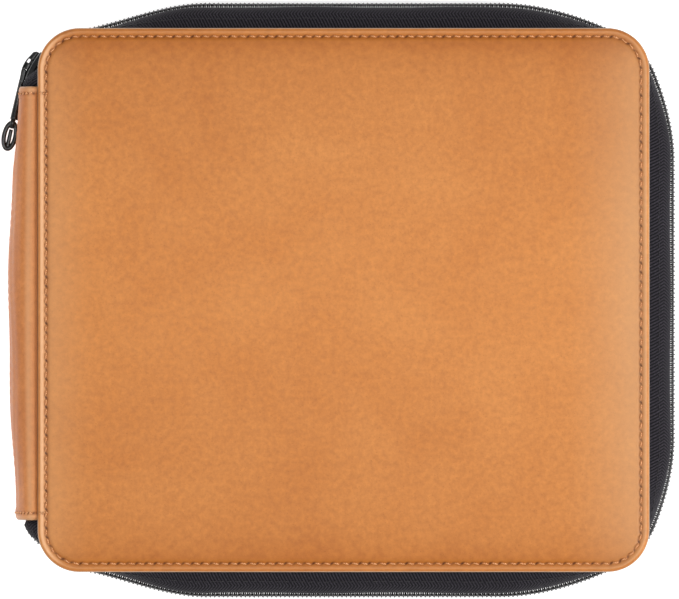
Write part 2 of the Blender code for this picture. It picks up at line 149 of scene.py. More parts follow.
def beads(name, paths, radii, side, up, sides=6):
    """Many small closed tubes. Each has its own path (n, rings, 3) and section directions (n, 3).

    A ring is side * cos + up * sin times its radius, and the two end rings are closed with a face each.
    """
    count, rings = paths.shape[:2]
    turn = np.arange(sides) / sides * 2 * math.pi
    circle = np.cos(turn)[None, :, None] * side[:, None, :] + np.sin(turn)[None, :, None] * up[:, None, :]
    points = paths[:, :, None, :] + radii[None, :, None, None] * circle[:, None, :, :]
    base = (np.arange(count) * rings * sides)[:, None, None]
    ring, corner = np.meshgrid(np.arange(rings - 1), np.arange(sides), indexing="ij")
    ring, corner = ring.ravel(), corner.ravel()
    following = (corner + 1) % sides
    quad = np.stack((ring * sides + corner, ring * sides + following,
                     (ring + 1) * sides + following, (ring + 1) * sides + corner), 1)
    quads = (base + quad[None]).reshape(-1, 4)
    first = np.arange(sides)[None, :]
    caps = np.concatenate((first[:, ::-1], (rings - 1) * sides + first))
    caps = (base + caps[None]).reshape(-1, sides)
    piece = mesh_object(name, points.reshape(-1, 3), [quads, caps])
    fix_outside(piece)
    return piece


def swept(name, path, side, up, profile, closed=False):
    """Carry a closed profile (k, 2) along a path (n, 3): side and up are its two directions at each place."""
    grid = path[:, None, :] + profile[None, :, :1] * side[:, None, :] + profile[None, :, 1:] * up[:, None, :]
    return grid_object(name, grid, wrap_u=closed, wrap_v=True, ends=not closed)


def round_bar(half_width, half_height, power=4.0, steps=20):
    """A rounded-rectangle profile: a superellipse."""
    turn = np.arange(steps) / steps * 2 * math.pi
    c, s = np.cos(turn), np.sin(turn)
    return np.stack((half_width * np.sign(c) * np.abs(c) ** (2 / power),
                     half_height * np.sign(s) * np.abs(s) ** (2 / power)), 1)


def bar(name, path, side, up, half_side, half_up, power):
    """A closed bar of rounded-rectangle section whose half sizes change along its path."""
    profile = round_bar(1.0, 1.0, power, 24)
    grid = path[:, None, :] + profile[None, :, :1] * side[:, None, :] * half_side[:, None, None]
    grid = grid + profile[None, :, 1:] * up[:, None, :] * half_up[:, None, None]
    return grid_object(name, grid, wrap_v=True, ends=True)


def modify(piece, kind, name, **values):
    """Add a modifier and set its values."""
    modifier = piece.modifiers.new(name, kind)
    for key, value in values.items():
        setattr(modifier, key, value)
    return piece


def place(piece, body, finish, *replaced, material=None):
    """Give a piece its material, its body and the CAD nodes it stands for."""
    piece.data.materials.clear()
    piece.data.materials.append(material)
    if body:
        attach(piece, body)
    if replaced:
        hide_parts(*replaced)
    return piece


# ---- Shader tools

def add_node(tree, kind, values=None, **settings):
    """Add a node; values are its inputs by name or number, each a constant or another node's output."""
    made = tree.nodes.new(kind)
    for key, value in settings.items():
        setattr(made, key, value)
    for key, value in (values or {}).items():
        socket = made.inputs[key]
        if isinstance(value, bpy.types.NodeSocket):
            tree.links.new(value, socket)
        else:
            socket.default_value = value
    return made


def ramp(tree, factor, stops, interpolation="LINEAR"):
    """A colour ramp over (place, colour) stops."""
    made = add_node(tree, "ShaderNodeValToRGB", {"Fac": factor})
    made.color_ramp.interpolation = interpolation
    elements = made.color_ramp.elements
    while len(elements) < len(stops):
        elements.new(0.5)
    for element, (position, colour) in zip(elements, stops):
        element.position = position
        element.color = (*colour, 1.0) if len(colour) == 3 else colour
    return made.outputs["Color"]


def arithmetic(tree, operation, first, second=0.5, third=0.5):
    """One math step."""
    return add_node(tree, "ShaderNodeMath", {0: first, 1: second, 2: third}, operation=operation).outputs[0]


def blend_colour(tree, factor, first, second, mode="MIX"):
    """Mix two colours."""
    made = tree.nodes.new("ShaderNodeMix")
    made.data_type = "RGBA"
    made.blend_type = mode
    for index, value in ((0, factor), (6, first), (7, second)):
        if isinstance(value, bpy.types.NodeSocket):
            tree.links.new(value, made.inputs[index])
        else:
            made.inputs[index].default_value = value if index == 0 else (*value, 1.0)
    return made.outputs[2]


def new_group(name, inputs, outputs):
    """Start a shader group with named sockets; returns its tree and its input and output nodes."""
    tree = bpy.data.node_groups.new(name, "ShaderNodeTree")
    for label, kind, value in inputs:
        socket = tree.interface.new_socket(label, in_out="INPUT", socket_type=kind)
        if value is not None:
            socket.default_value = value
    for label, kind in outputs:
        tree.interface.new_socket(label, in_out="OUTPUT", socket_type=kind)
    return tree, tree.nodes.new("NodeGroupInput"), tree.nodes.new("NodeGroupOutput")


def use_group(tree, group, values):
    """Place a group in a material with its own values."""
    made = tree.nodes.new("ShaderNodeGroup")
    made.node_tree = group
    for key, value in values.items():
        if isinstance(value, bpy.types.NodeSocket):
            tree.links.new(value, made.inputs[key])
        else:
            made.inputs[key].default_value = value
    return made


def new_material(name, **constants):
    """A material with one Principled shader; constants are set on the shader's own sockets."""
    made = bpy.data.materials.new(name)
    made.use_nodes = True
    shader = made.node_tree.nodes["Principled BSDF"]
    for label, value in constants.items():
        shader.inputs[label.replace("_", " ")].default_value = value
    return made, made.node_tree, shader


def feed(tree, shader, **sockets):
    """Link outputs to the shader's inputs."""
    for label, socket in sockets.items():
        tree.links.new(socket, shader.inputs[label.replace("_", " ")])


def bump(tree, height, strength, distance):
    """A bump normal from a height."""
    made = add_node(tree, "ShaderNodeBump", {"Height": height, "Strength": strength, "Distance": distance})
    return made.outputs["Normal"]


def leather_group():
    """Full-grain leather: broad clouds, fine mottle, pores and creases from object coordinates."""
    tree, start, end = new_group(
        "leather_grain",
        [("Vector", "NodeSocketVector", None), ("Crease", "NodeSocketFloat", 0.3)],
        [("Cloud", "NodeSocketFloat"), ("Mottle", "NodeSocketFloat"), ("Pores", "NodeSocketFloat"),
         ("Height", "NodeSocketFloat")])
    where = start.outputs["Vector"]
    cloud = add_node(tree, "ShaderNodeTexNoise", {"Vector": where, "Scale": 15.0, "Detail": 7.0,
                                                  "Roughness": 0.62, "Distortion": 0.3}).outputs["Fac"]
    mottle = add_node(tree, "ShaderNodeTexNoise", {"Vector": where, "Scale": 420.0, "Detail": 6.0,
                                                   "Roughness": 0.7}).outputs["Fac"]
    bent = add_node(tree, "ShaderNodeTexNoise", {"Vector": where, "Scale": 300.0,
                                                 "Detail": 2.0}).outputs["Color"]
    offset = add_node(tree, "ShaderNodeVectorMath", {0: bent, "Scale": 0.0009}, operation="SCALE").outputs[0]
    moved = add_node(tree, "ShaderNodeVectorMath", {0: where, 1: offset}, operation="ADD").outputs[0]
    cells = add_node(tree, "ShaderNodeTexVoronoi", {"Vector": moved, "Scale": 1500.0},
                     feature="DISTANCE_TO_EDGE")
    creases = add_node(tree, "ShaderNodeMapRange", {"Value": cells.outputs["Distance"], "From Max": 0.12})
    dots = add_node(tree, "ShaderNodeTexVoronoi", {"Vector": moved, "Scale": 780.0, "Randomness": 1.0},
                    feature="F1")
    pores = add_node(tree, "ShaderNodeMapRange", {"Value": dots.outputs["Distance"], "From Min": 0.05,
                                                  "From Max": 0.22})
    rough = add_node(tree, "ShaderNodeTexNoise", {"Vector": where, "Scale": 900.0,
                                                  "Detail": 3.0}).outputs["Fac"]
    ridges = arithmetic(tree, "MULTIPLY", creases.outputs[0], start.outputs["Crease"])
    height = arithmetic(tree, "ADD", arithmetic(tree, "MULTIPLY", pores.outputs[0], 0.35), ridges)
    height = arithmetic(tree, "MULTIPLY_ADD", rough, 0.5, height)
    for label, socket in (("Cloud", cloud), ("Mottle", mottle), ("Pores", pores.outputs[0]),
                          ("Height", height)):
        tree.links.new(socket, end.inputs[label])
    return tree


def weave_group():
    """Herringbone twill from the piece's own UV in metres: slanted ribs that turn back in each band."""
    tree, start, end = new_group(
        "herringbone",
        [("Vector", "NodeSocketVector", None), ("Rib", "NodeSocketFloat", 0.0006),
         ("Band", "NodeSocketFloat", 0.004)],
        [("Rib", "NodeSocketFloat"), ("Fleck", "NodeSocketFloat"), ("Height", "NodeSocketFloat")])
    parts = add_node(tree, "ShaderNodeSeparateXYZ", {0: start.outputs["Vector"]})
    along, across = parts.outputs[0], parts.outputs[1]
    band = arithmetic(tree, "PINGPONG", across, start.outputs["Band"])
    slant = arithmetic(tree, "ADD", along, band)
    count = arithmetic(tree, "DIVIDE", slant, start.outputs["Rib"])
    wave = arithmetic(tree, "SINE", arithmetic(tree, "MULTIPLY", count, 2 * math.pi))
    rib = arithmetic(tree, "MULTIPLY_ADD", wave, 0.5, 0.5)
    picks = arithmetic(tree, "SINE", arithmetic(tree, "MULTIPLY", arithmetic(
        tree, "DIVIDE", across, start.outputs["Rib"]), 3 * math.pi))
    thread = arithmetic(tree, "MULTIPLY_ADD", picks, 0.25, 0.75)
    fleck = add_node(tree, "ShaderNodeTexNoise", {"Vector": start.outputs["Vector"], "Scale": 2600.0,
                                                  "Detail": 2.0, "Roughness": 0.7}).outputs["Fac"]
    height = arithmetic(tree, "MULTIPLY", rib, thread)
    height = arithmetic(tree, "MULTIPLY_ADD", fleck, 0.3, height)
    for label, socket in (("Rib", rib), ("Fleck", fleck), ("Height", height)):
        tree.links.new(socket, end.inputs[label])
    return tree


LEATHER_GRAIN = leather_group()
HERRINGBONE = weave_group()


def object_place(tree):
    """Object coordinates."""
    return tree.nodes.new("ShaderNodeTexCoord").outputs["Object"]


def cloth_place(tree):
    """The piece's own UV in metres, as a vector."""
    made = tree.nodes.new("ShaderNodeUVMap")
    made.uv_map = "cloth"
    return made.outputs["UV"]


def mask(tree, label):
    """A point attribute of the piece."""
    made = tree.nodes.new("ShaderNodeAttribute")
    made.attribute_name = label
    return made.outputs["Fac"]


def leather_material(name, dark, light, edge, crease, gloss):
    """Saddle leather: cloudy tan, with painted shade towards the cover's top and bottom, along the seam and
    in the holes, painted sheen towards the sides and painted highlights on the border.
    """
    made, tree, shader = new_material(name, Specular_IOR_Level=gloss)
    grain = use_group(tree, LEATHER_GRAIN, {"Vector": object_place(tree), "Crease": crease})
    colour = ramp(tree, grain.outputs["Cloud"], ((0.30, dark), (0.70, light)))
    mottle = ramp(tree, grain.outputs["Mottle"], ((0.32, (0.80, 0.75, 0.68)), (0.68, (1.07, 1.09, 1.14))))
    colour = blend_colour(tree, 0.9, colour, mottle, "MULTIPLY")
    pores = ramp(tree, grain.outputs["Pores"], ((0.0, (0.76, 0.68, 0.60)), (0.8, (1.0, 1.0, 1.0))))
    colour = blend_colour(tree, 0.7, colour, pores, "MULTIPLY")
    # painted shade: darker towards the cover's top and bottom and on the spine's outer side
    colour = blend_colour(tree, mask(tree, "painted_shade"), colour, (0.74, 0.62, 0.43), "MULTIPLY")
    # painted shade along the stitch valley and in the spine's creases
    colour = blend_colour(tree, mask(tree, "seam"), colour, tuple(c * 0.72 for c in dark))
    # painted sheen: paler towards the cover's right edge and, less, by the spine
    colour = blend_colour(tree, mask(tree, "painted_sheen"), colour, (0.57, 0.320, 0.155))
    # painted highlight on the cover's rolled border and on the spine's upper bands
    colour = blend_colour(tree, mask(tree, "pale"), colour, (0.76, 0.41, 0.205))
    colour = blend_colour(tree, mask(tree, "edge"), colour, edge)
    # painted shade in the needle holes
    colour = blend_colour(tree, mask(tree, "hole"), colour, (0.085, 0.018, 0.004))
    roughness = ramp(tree, grain.outputs["Mottle"], ((0.3, (0.40,) * 3), (0.75, (0.52,) * 3)))
    feed(tree, shader, Base_Color=colour, Roughness=roughness,
         Normal=bump(tree, grain.outputs["Height"], 0.22, 0.00012))
    return made


def cloth_material(name, dark, light, rib, band, roughness, strength=0.5):
    """Woven cloth: herringbone ribs with pale flecks."""
    made, tree, shader = new_material(name, Specular_IOR_Level=0.12)
    weave = use_group(tree, HERRINGBONE, {"Vector": cloth_place(tree), "Rib": rib, "Band": band})
    colour = blend_colour(tree, weave.outputs["Rib"], dark, light)
    flecks = ramp(tree, weave.outputs["Fleck"], ((0.45, (0.6,) * 3), (0.75, (1.7,) * 3)))
    colour = blend_colour(tree, 0.8, colour, flecks, "MULTIPLY")
    rough = ramp(tree, weave.outputs["Fleck"], ((0.3, (roughness,) * 3), (0.8, (roughness * 0.8,) * 3)))
    feed(tree, shader, Base_Color=colour, Roughness=rough,
         Normal=bump(tree, weave.outputs["Height"], strength, 0.0002))
    return made


def gloss_material(name, colour, roughness, grain_scale, strength, **constants):
    """Enamel or nylon: fine mottled gloss with small dents."""
    made, tree, shader = new_material(name, **constants)
    noise = add_node(tree, "ShaderNodeTexNoise", {"Vector": object_place(tree), "Scale": grain_scale,
                                                  "Detail": 4.0, "Roughness": 0.6}).outputs["Fac"]
    rough = ramp(tree, noise, ((0.3, (roughness,) * 3), (0.75, (roughness * 1.8,) * 3)))
    shade = ramp(tree, noise, ((0.3, colour), (0.8, tuple(c * 1.6 for c in colour))))
    feed(tree, shader, Base_Color=shade, Roughness=rough, Normal=bump(tree, noise, strength, 0.0002))
    return made


def thread_material(name, dark, light):
    """Twisted thread: fine slanted plies."""
    made, tree, shader = new_material(name, Specular_IOR_Level=0.25)
    wave = add_node(tree, "ShaderNodeTexWave", {"Vector": object_place(tree), "Scale": 900.0,
                                                "Distortion": 2.0}, bands_direction="DIAGONAL").outputs["Fac"]
    feed(tree, shader, Base_Color=ramp(tree, wave, ((0.2, dark), (0.8, light))),
         Roughness=ramp(tree, wave, ((0.2, (0.45,) * 3), (0.8, (0.6,) * 3))),
         Normal=bump(tree, wave, 0.5, 0.00015))
    return made


COVER_LEATHER = leather_material("cover_leather", (0.545, 0.186, 0.033), (0.632, 0.245, 0.057),
                                 (0.40, 0.30, 0.20), 0.25, 0.26)
SPINE_LEATHER = leather_material("soft_spine_leather", (0.46, 0.140, 0.030), (0.60, 0.220, 0.055),
                                 (0.44, 0.27, 0.14), 0.6, 0.22)
TAN_THREAD = thread_material("tan_thread", (0.46, 0.15, 0.045), (0.86, 0.46, 0.22))
BLACK_THREAD = thread_material("black_thread", (0.010, 0.009, 0.011), (0.035, 0.032, 0.036))
TAPE_CLOTH = cloth_material("zip_tape_twill", (0.002, 0.002, 0.003), (0.038, 0.033, 0.042),
                            0.0012, 0.0032, 0.9)
LINING_CLOTH = cloth_material("lining_cloth", (0.014, 0.013, 0.015), (0.040, 0.038, 0.042),
                              0.0005, 0.0010, 0.85)
ELASTIC_CLOTH = cloth_material("ribbed_elastic", (0.008, 0.008, 0.009), (0.036, 0.034, 0.038),
                               0.0010, 0.0005, 0.75)
COIL_NYLON = gloss_material("coil_nylon", (0.008, 0.007, 0.008), 0.20, 900.0, 0.15, Specular_IOR_Level=0.5,
                            Coat_Weight=0.2, Coat_Roughness=0.14)
BLACK_ENAMEL = gloss_material("black_enamel", (0.004, 0.004, 0.0045), 0.18, 260.0, 0.08,
                              Specular_IOR_Level=0.35, Coat_Weight=0.25, Coat_Roughness=0.08)


# ---- Cover outline

def cover_ring(inset, share):
    """Places on the cover's outline drawn in by an inset, for shares of the way round at the stitch line.

    Each share is first turned into a side or corner and a place along it, so the places of all rings line
    up. The corner centres lie on a rectangle, which starts and steps give as signs of its two half sizes.
    """
    radius = CORNER - STITCH_INSET
    lengths = np.array([HALF_Y - CORNER, radius * math.pi / 2, 2 * (HALF_X - CORNER), radius * math.pi / 2,
                        2 * (HALF_Y - CORNER), radius * math.pi / 2, 2 * (HALF_X - CORNER),
                        radius * math.pi / 2, HALF_Y - CORNER])
    ends = np.concatenate(([0], np.cumsum(lengths)))
    distance = np.clip(share, 0, 1) * ends[-1]
    part = np.clip(np.searchsorted(ends, distance, side="right") - 1, 0, 8)
    along = (distance - ends[part]) / lengths[part]
    bend = max(CORNER - inset, 0.0015)
    core_x, core_y = HALF_X - inset - bend, HALF_Y - inset - bend
    turn = (part // 2 + np.where(part % 2 == 1, along, 0.0)) * math.pi / 2
    starts = np.array(((1, 0), (1, 1), (1, 1), (-1, 1), (-1, 1), (-1, -1), (-1, -1), (1, -1), (1, -1)))
    steps = np.roll(starts, -1, axis=0) - starts
    centre = (starts[part] + steps[part] * along[:, None]) * (core_x, core_y)
    outward = np.stack((np.cos(turn), np.sin(turn)), 1)
    return centre + outward * bend, outward


def stitch_line_length():
    """Length of the stitch line round one cover."""
    return (4 * (HALF_X + HALF_Y - 2 * CORNER)) + 2 * math.pi * (CORNER - STITCH_INSET)


STITCHES = round(stitch_line_length() / STITCH_PITCH)


# ---- Zip line

def zip_edge():
    """The zip's outer edge in plan, dense: places, outward directions and distance along it.

    A corner arc by the spine, then cubic stretches between knots (x, y, heading), mirrored for the -Y half.
    """
    turn = np.radians(np.linspace(ZIP_ARC_START, 102.0, 40))
    arc = np.stack((ARC_X + ZIP_ARC_RADIUS * np.cos(turn), ARC_Y + ZIP_ARC_RADIUS * np.sin(turn)), 1)
    knots = ((*arc[-1], 12.0), (-0.0510, ZIP_HALF_Y, 0.0), (0.0580, ZIP_HALF_Y, 0.0), (0.0982, 0.1014, -24.0),
             (0.1162, 0.0846, -68.0), (ZIP_HALF_X, 0.0518, -90.0), (ZIP_HALF_X, 0.0, -90.0))
    stretches = [arc]
    t = np.linspace(0, 1, 41)[1:, None]
    for (x0, y0, h0), (x1, y1, h1) in zip(knots, knots[1:]):
        reach = math.hypot(x1 - x0, y1 - y0)
        h0, h1 = math.radians(h0), math.radians(h1)
        stretches.append((2 * t**3 - 3 * t**2 + 1) * (x0, y0) + (3 * t**2 - 2 * t**3) * (x1, y1)
                         + (t**3 - 2 * t**2 + t) * reach * np.array((math.cos(h0), math.sin(h0)))
                         + (t**3 - t**2) * reach * np.array((math.cos(h1), math.sin(h1))))
    half = np.concatenate(stretches)
    other = half[half[:, 0] > ARC_X - 0.0277][::-1][1:] * (1, -1)
    line = np.concatenate((half, other))
    step = np.gradient(line, axis=0)
    step /= np.linalg.norm(step, axis=1)[:, None]
    outward = np.stack((-step[:, 1], step[:, 0]), 1)
    distance = np.concatenate(([0], np.cumsum(np.linalg.norm(np.diff(line, axis=0), axis=1))))
    return line, outward, distance


ZIP_LINE, ZIP_OUT, ZIP_DISTANCE = zip_edge()
ZIP_LENGTH = ZIP_DISTANCE[-1]
SLIDER_AT = ZIP_ARC_RADIUS * math.radians(ZIP_ARC_START - SLIDER_TURN)


def along_zip(distance, inset):
    """Places on the zip line drawn in by an inset, and outward directions, at distances along it."""
    place_on = np.stack([np.interp(distance, ZIP_DISTANCE, ZIP_LINE[:, axis]) for axis in (0, 1)], 1)
    out = np.stack([np.interp(distance, ZIP_DISTANCE, ZIP_OUT[:, axis]) for axis in (0, 1)], 1)
    out /= np.linalg.norm(out, axis=1)[:, None]
    return place_on - out * inset, out


def nearest_cover_edge(line, inset):
    """For each place, the nearest place on the cover's outline drawn in by an inset."""
    core = np.array((HALF_X - CORNER, HALF_Y - CORNER))
    inside = np.clip(line, -core, core)
    away = line - inside
    away /= np.linalg.norm(away, axis=1)[:, None]
    return inside + away * (CORNER - inset)


def turn_over(grid, front):
    """A grid made for the back cover, or the same grid turned over for the front one."""
    if not front:
        return grid
    grid = grid.copy()
    grid[..., 2] = DEPTH - grid[..., 2]
    return grid


# ---- Leather covers

def cover_rows():
    """(inset, height above the outer face, inwards positive) of the cover's section, from the middle of the
    face, over the puffed panel, the stitch valley and the rolled border, round the edge and back inside."""
    rows = [(inset, 0.0) for inset in (0.0985, 0.090, 0.078, 0.064, 0.050, 0.038, 0.029, 0.022, 0.0170,
                                       0.0135, 0.0110, 0.0092, 0.0078, 0.0068, 0.0060)]
    rows += [(inset, 0.0) for inset in np.arange(0.0054, 0.0010, -0.00030)]
    for turn in np.radians((15, 40, 65, 90)):
        rows.append((0.0010 - 0.0010 * math.sin(turn), 0.0010 * (1 - math.cos(turn))))
    rows += [(0.0, 0.0016), (0.0, 0.0023)]
    rows += [(0.0003, 0.0028), (0.0009, 0.0030), (0.0060, 0.0030), (0.0063, 0.0027), (0.0063, 0.0016),
             (0.0300, 0.0015), (0.0985, 0.0015)]
    return rows


def face_relief(inset, share, points):
    """How far the outer face lies below the border's top: puffed panel, stitch valley and needle holes.

    The panel rises over its padding as 1 - exp(-distance / 7 mm), the valley is a bell 0.8 mm wide, the
    border a low round roll, and each needle hole a small bell, deeper or shallower in turn by two sines of
    its number, as hand-fed leather shows. Slow waves keep the panel from being flat.
    """
    puff = 0.00065 * (1 - np.exp(-np.clip(inset - STITCH_INSET, 0, None) / 0.007))
    valley = 0.00050 * np.exp(-(((inset - STITCH_INSET) / 0.00085) ** 2))
    roll = 0.00038 * np.exp(-(((inset - 0.0014) / 0.0009) ** 2))
    count = share * STITCHES
    beside = (count - np.round(count)) * STITCH_PITCH
    slant = beside - (inset - STITCH_INSET - 0.0001) * 0.75
    hole = np.exp(-((slant / 0.00052) ** 2) - (((inset - STITCH_INSET - 0.0001) / 0.00055) ** 2))
    which = np.round(count) % STITCHES
    hole = hole * (0.76 + 0.24 * np.sin(which * 2.3 + 1.7 * np.sin(which * 0.9)))
    waves = 0.00012 * np.sin(points[:, 0] * 47 + 1.1) * np.sin(points[:, 1] * 39 - 0.6)
    waves += 0.00006 * np.sin(points[:, 0] * 131 + points[:, 1] * 83)
    waves *= np.clip((inset - 0.004) / 0.02, 0, 1)
    return puff + roll + waves - valley - 0.00035 * hole, hole


def cover_shade_and_sheen(points):
    """Painted light on the cover's leather at places in plan: painted shade, painted sheen and nearness to
    the left and right sides.

    The painted shade deepens slowly towards the top and bottom, and fast close to them: there it fades
    inwards exponentially, over 6 mm at the top and 8 mm at the bottom. The painted sheen rises towards the
    right edge and, less, towards the spine.
    """
    x, y = points[:, 0], points[:, 1]
    upper = 0.35 * np.clip((y - 0.030) / 0.045, 0, 1) + 0.75 * np.exp(-np.abs(0.0955 - y) / 0.006)
    lower = 0.30 * np.clip((-y - 0.015) / 0.050, 0, 1) + 0.55 * np.exp(-np.abs(0.0955 + y) / 0.008)
    painted_shade = np.where(y > 0, upper, lower)
    sheen_share = 0.5 * np.clip((x - 0.082) / 0.024, 0, 1) ** 1.3 + 0.28 * np.clip((-x - 0.094) / 0.014, 0, 1)
    by_side = np.clip((np.abs(x) - (HALF_X - 0.010)) / 0.006, 0, 1)
    return painted_shade * (1 - 0.7 * by_side), sheen_share * (1 - 0.5 * painted_shade), by_side


def cover_leather(side, front):
    """One cover's leather as a closed shell with 6 columns to a stitch."""
    share = np.arange(STITCHES * 6) / (STITCHES * 6)
    rows = cover_rows()
    grid = np.zeros((len(rows), len(share), 3))
    holes, seam, edge, painted_sheen, painted_shade, pale = np.zeros((6, len(rows), len(share)))
    for index, (inset, depth) in enumerate(rows):
        points, _ = cover_ring(inset, share)
        grid[index, :, :2] = points
        relief, hole = face_relief(inset, share, points)
        if depth > 0:
            relief, hole = relief * max(0.0, 1 - depth / 0.001), hole * 0
        grid[index, :, 2] = depth - relief
        # painted shade in the cover's needle holes
        holes[index] = np.clip(hole * 1.3, 0, 1)
        # painted shade in the stitch valley just inside the stitch line
        seam[index] = 0.55 * np.exp(-(((inset - STITCH_INSET - 0.0006) / 0.0011) ** 2)) * (depth == 0)
        edge[index] = 0.85 * np.clip((depth - 0.0002) / 0.0004, 0, 1)
        # painted shade towards the top and bottom, and the share of painted sheen towards the sides
        painted_shade[index], sheen_share, by_side = cover_shade_and_sheen(points)
        # painted highlight along the rolled border, much stronger on the spine side
        highlight_share = 0.20 + by_side * np.where(points[:, 0] < 0, 0.78, 0.08)
        pale[index] = highlight_share * math.exp(-(((inset - 0.0015) / 0.0010) ** 2)) * (depth == 0)
        # painted sheen on the outer face only
        painted_sheen[index] = sheen_share * (depth == 0)
        for hem_y in HEM_ROWS:
            for tack_x in TACK_X:
                # painted shade in the tack holes where the hem's row crosses the border
                across = (points[:, 0] + HALF_X - tack_x) / 0.00045
                lengthways = (points[:, 1] - hem_y - (points[:, 0] + HALF_X - tack_x) * 0.6) / 0.00035
                tack = np.exp(-(across**2) - lengthways**2) * (depth == 0)
                holes[index] = np.maximum(holes[index], tack)
    turned = -1 if front else 1
    piece = grid_object(side + "_cover_leather", turn_over(grid, front)[:, ::turned], wrap_v=True,
                        masks={"hole": holes[:, ::turned], "seam": seam, "edge": edge,
                               "painted_sheen": painted_sheen[:, ::turned], "pale": pale[:, ::turned], "painted_shade": painted_shade[:, ::turned]})
    close_middle(piece, len(rows), len(share))
    return place(piece, side + "_cover", "leather", side + "_leather", material=COVER_LEATHER)


def close_middle(piece, rows, columns):
    """Close the small open rings in the middle of the shell's two faces."""
    work = bmesh.new()
    work.from_mesh(piece.data)
    work.verts.ensure_lookup_table()
    for ring in (range(columns), range((rows - 1) * columns, rows * columns)):
        bmesh.ops.contextual_create(work, geom=[work.verts[i] for i in ring])
    bmesh.ops.recalc_face_normals(work, faces=work.faces)
    work.to_mesh(piece.data)
    work.free()
    piece.data.shade_smooth()


def cover_stitches(side, front):
    """Thread between neighbouring needle holes: short arched beads, each slanted across the line."""
    first = np.arange(STITCHES)
    t = np.array((0.20, 0.30, 0.44, 0.58, 0.72, 0.82))
    share = (first[:, None] + t[None, :]) / STITCHES
    points, outward = cover_ring(STITCH_INSET, share.ravel())
    points = points.reshape(STITCHES, len(t), 2)
    outward = outward.reshape(STITCHES, len(t), 2)
    points = points + outward * ((t - 0.5) * 0.00065)[None, :, None]
    paths = np.zeros((STITCHES, len(t), 3))
    paths[..., :2] = points
    paths[..., 2] = 0.00038 - 0.00042 * np.sin(math.pi * t)[None, :]
    side_way = np.zeros((STITCHES, 3))
    side_way[:, :2] = outward[:, 2]
    up = np.tile((0.0, 0.0, -1.0), (STITCHES, 1))
    radii = np.array((0.00010, 0.00024, 0.00032, 0.00032, 0.00024, 0.00010))
    paths = turn_over(paths, front)
    if front:
        up = -up
    piece = beads(side + "_cover_stitches", paths, radii, side_way, up)
    return place(piece, side + "_cover", "thread", side + "_stitching", material=TAN_THREAD)


# ---- Zip

TAPE_FLANGE_Z = 0.00375
TAPE_SECTION = 22
SLIDER_REACH = 0.0245
OPEN_FLARE = 0.0032
CLOSED_FLARE = 0.0037
CLOSED_FLARE_LENGTH = 0.0160


def open_end_flare(distance):
    """How far the tape stands out past the zip line between the slider and the spine: a smooth step."""
    share = np.clip(1 - distance / (SLIDER_AT + 0.002), 0, 1)
    return OPEN_FLARE * share * share * (3 - 2 * share)


def closed_end_flare(distance):
    """How far tape and coil stand out where the closed end runs in behind the spine: a smooth step."""
    share = np.clip(1 - (ZIP_LENGTH - distance) / CLOSED_FLARE_LENGTH, 0, 1)
    return CLOSED_FLARE * share * share * (3 - 2 * share)


def tape_section(distance):
    """The back half of the gusset along the zip: sewn in under the lining, out over the cover's edge and
    up to the coil. Returns the grid (distance, section, 3) and the section's own length."""
    line, out = along_zip(distance, 0.0024)
    line = line + out * (open_end_flare(distance) + closed_end_flare(distance))[:, None]
    sewn = nearest_cover_edge(line, 0.0042)
    edge = nearest_cover_edge(line, 0.0009)
    rise = MID - 0.0007 - TAPE_FLANGE_Z
    share = np.linspace(0, 1, TAPE_SECTION - 2) ** 1.25
    grid = np.zeros((len(distance), TAPE_SECTION, 3))
    grid[:, 0, :2] = sewn
    grid[:, 1, :2] = (sewn + edge) / 2
    grid[:, :2, 2] = TAPE_FLANGE_Z
    height = rise * share
    reach = 1 - (1 - np.clip(height / 0.0112, 0, 1)) ** 2.1
    grid[:, 2:, :2] = edge[:, None, :] + (line - edge)[:, None, :] * reach[None, :, None]
    grid[:, 2:, 2] = TAPE_FLANGE_Z + height[None, :]
    slack = 1 - np.linalg.norm(line - edge, axis=1) / 0.0080
    gathers = np.clip(slack, 0, 1)[:, None] * np.sin(distance / 0.0052 * 2 * math.pi)[:, None]
    gathers = gathers * np.sin(math.pi * np.clip(share * 1.2, 0, 1))[None, :] * 0.00022
    slow = 0.00025 * np.sin(distance / 0.055 * 2 * math.pi + 0.7)[:, None] * np.sin(math.pi * share)[None, :]
    in_slider = np.exp(-(((distance - SLIDER_AT) / 0.010) ** 2))[:, None]
    grid[:, 2:, :2] += out[:, None, :] * ((gathers + slow) * (1 - in_slider))[:, :, None]
    return grid, np.concatenate(([-0.004, -0.002], share * 0.0110))


def zip_tape(side, front):
    """One half of the woven gusset."""
    distance = np.linspace(0, ZIP_LENGTH, 860)
    grid, across = tape_section(distance)
    behind_top = grid[0] + np.array((0.0014, -0.0034, 0.0))
    behind_bottom = grid[-1] + np.array((0.0014, 0.0034, 0.0))
    grid = np.concatenate((behind_top[None], grid, behind_bottom[None]))
    distance = np.concatenate(((-0.0034,), distance, (ZIP_LENGTH + 0.0034,)))
    grid = turn_over(grid, front)
    uv = (distance, across)
    if front:
        grid, uv = grid[::-1], (distance[::-1], across)
    piece = grid_object(side + "_tape", grid, uv=uv)
    modify(piece, "SOLIDIFY", "cloth_thickness", thickness=0.0006, offset=0.0)
    return place(piece, side + "_cover", "zip_tape", side + "_zip_tape", material=TAPE_CLOTH)


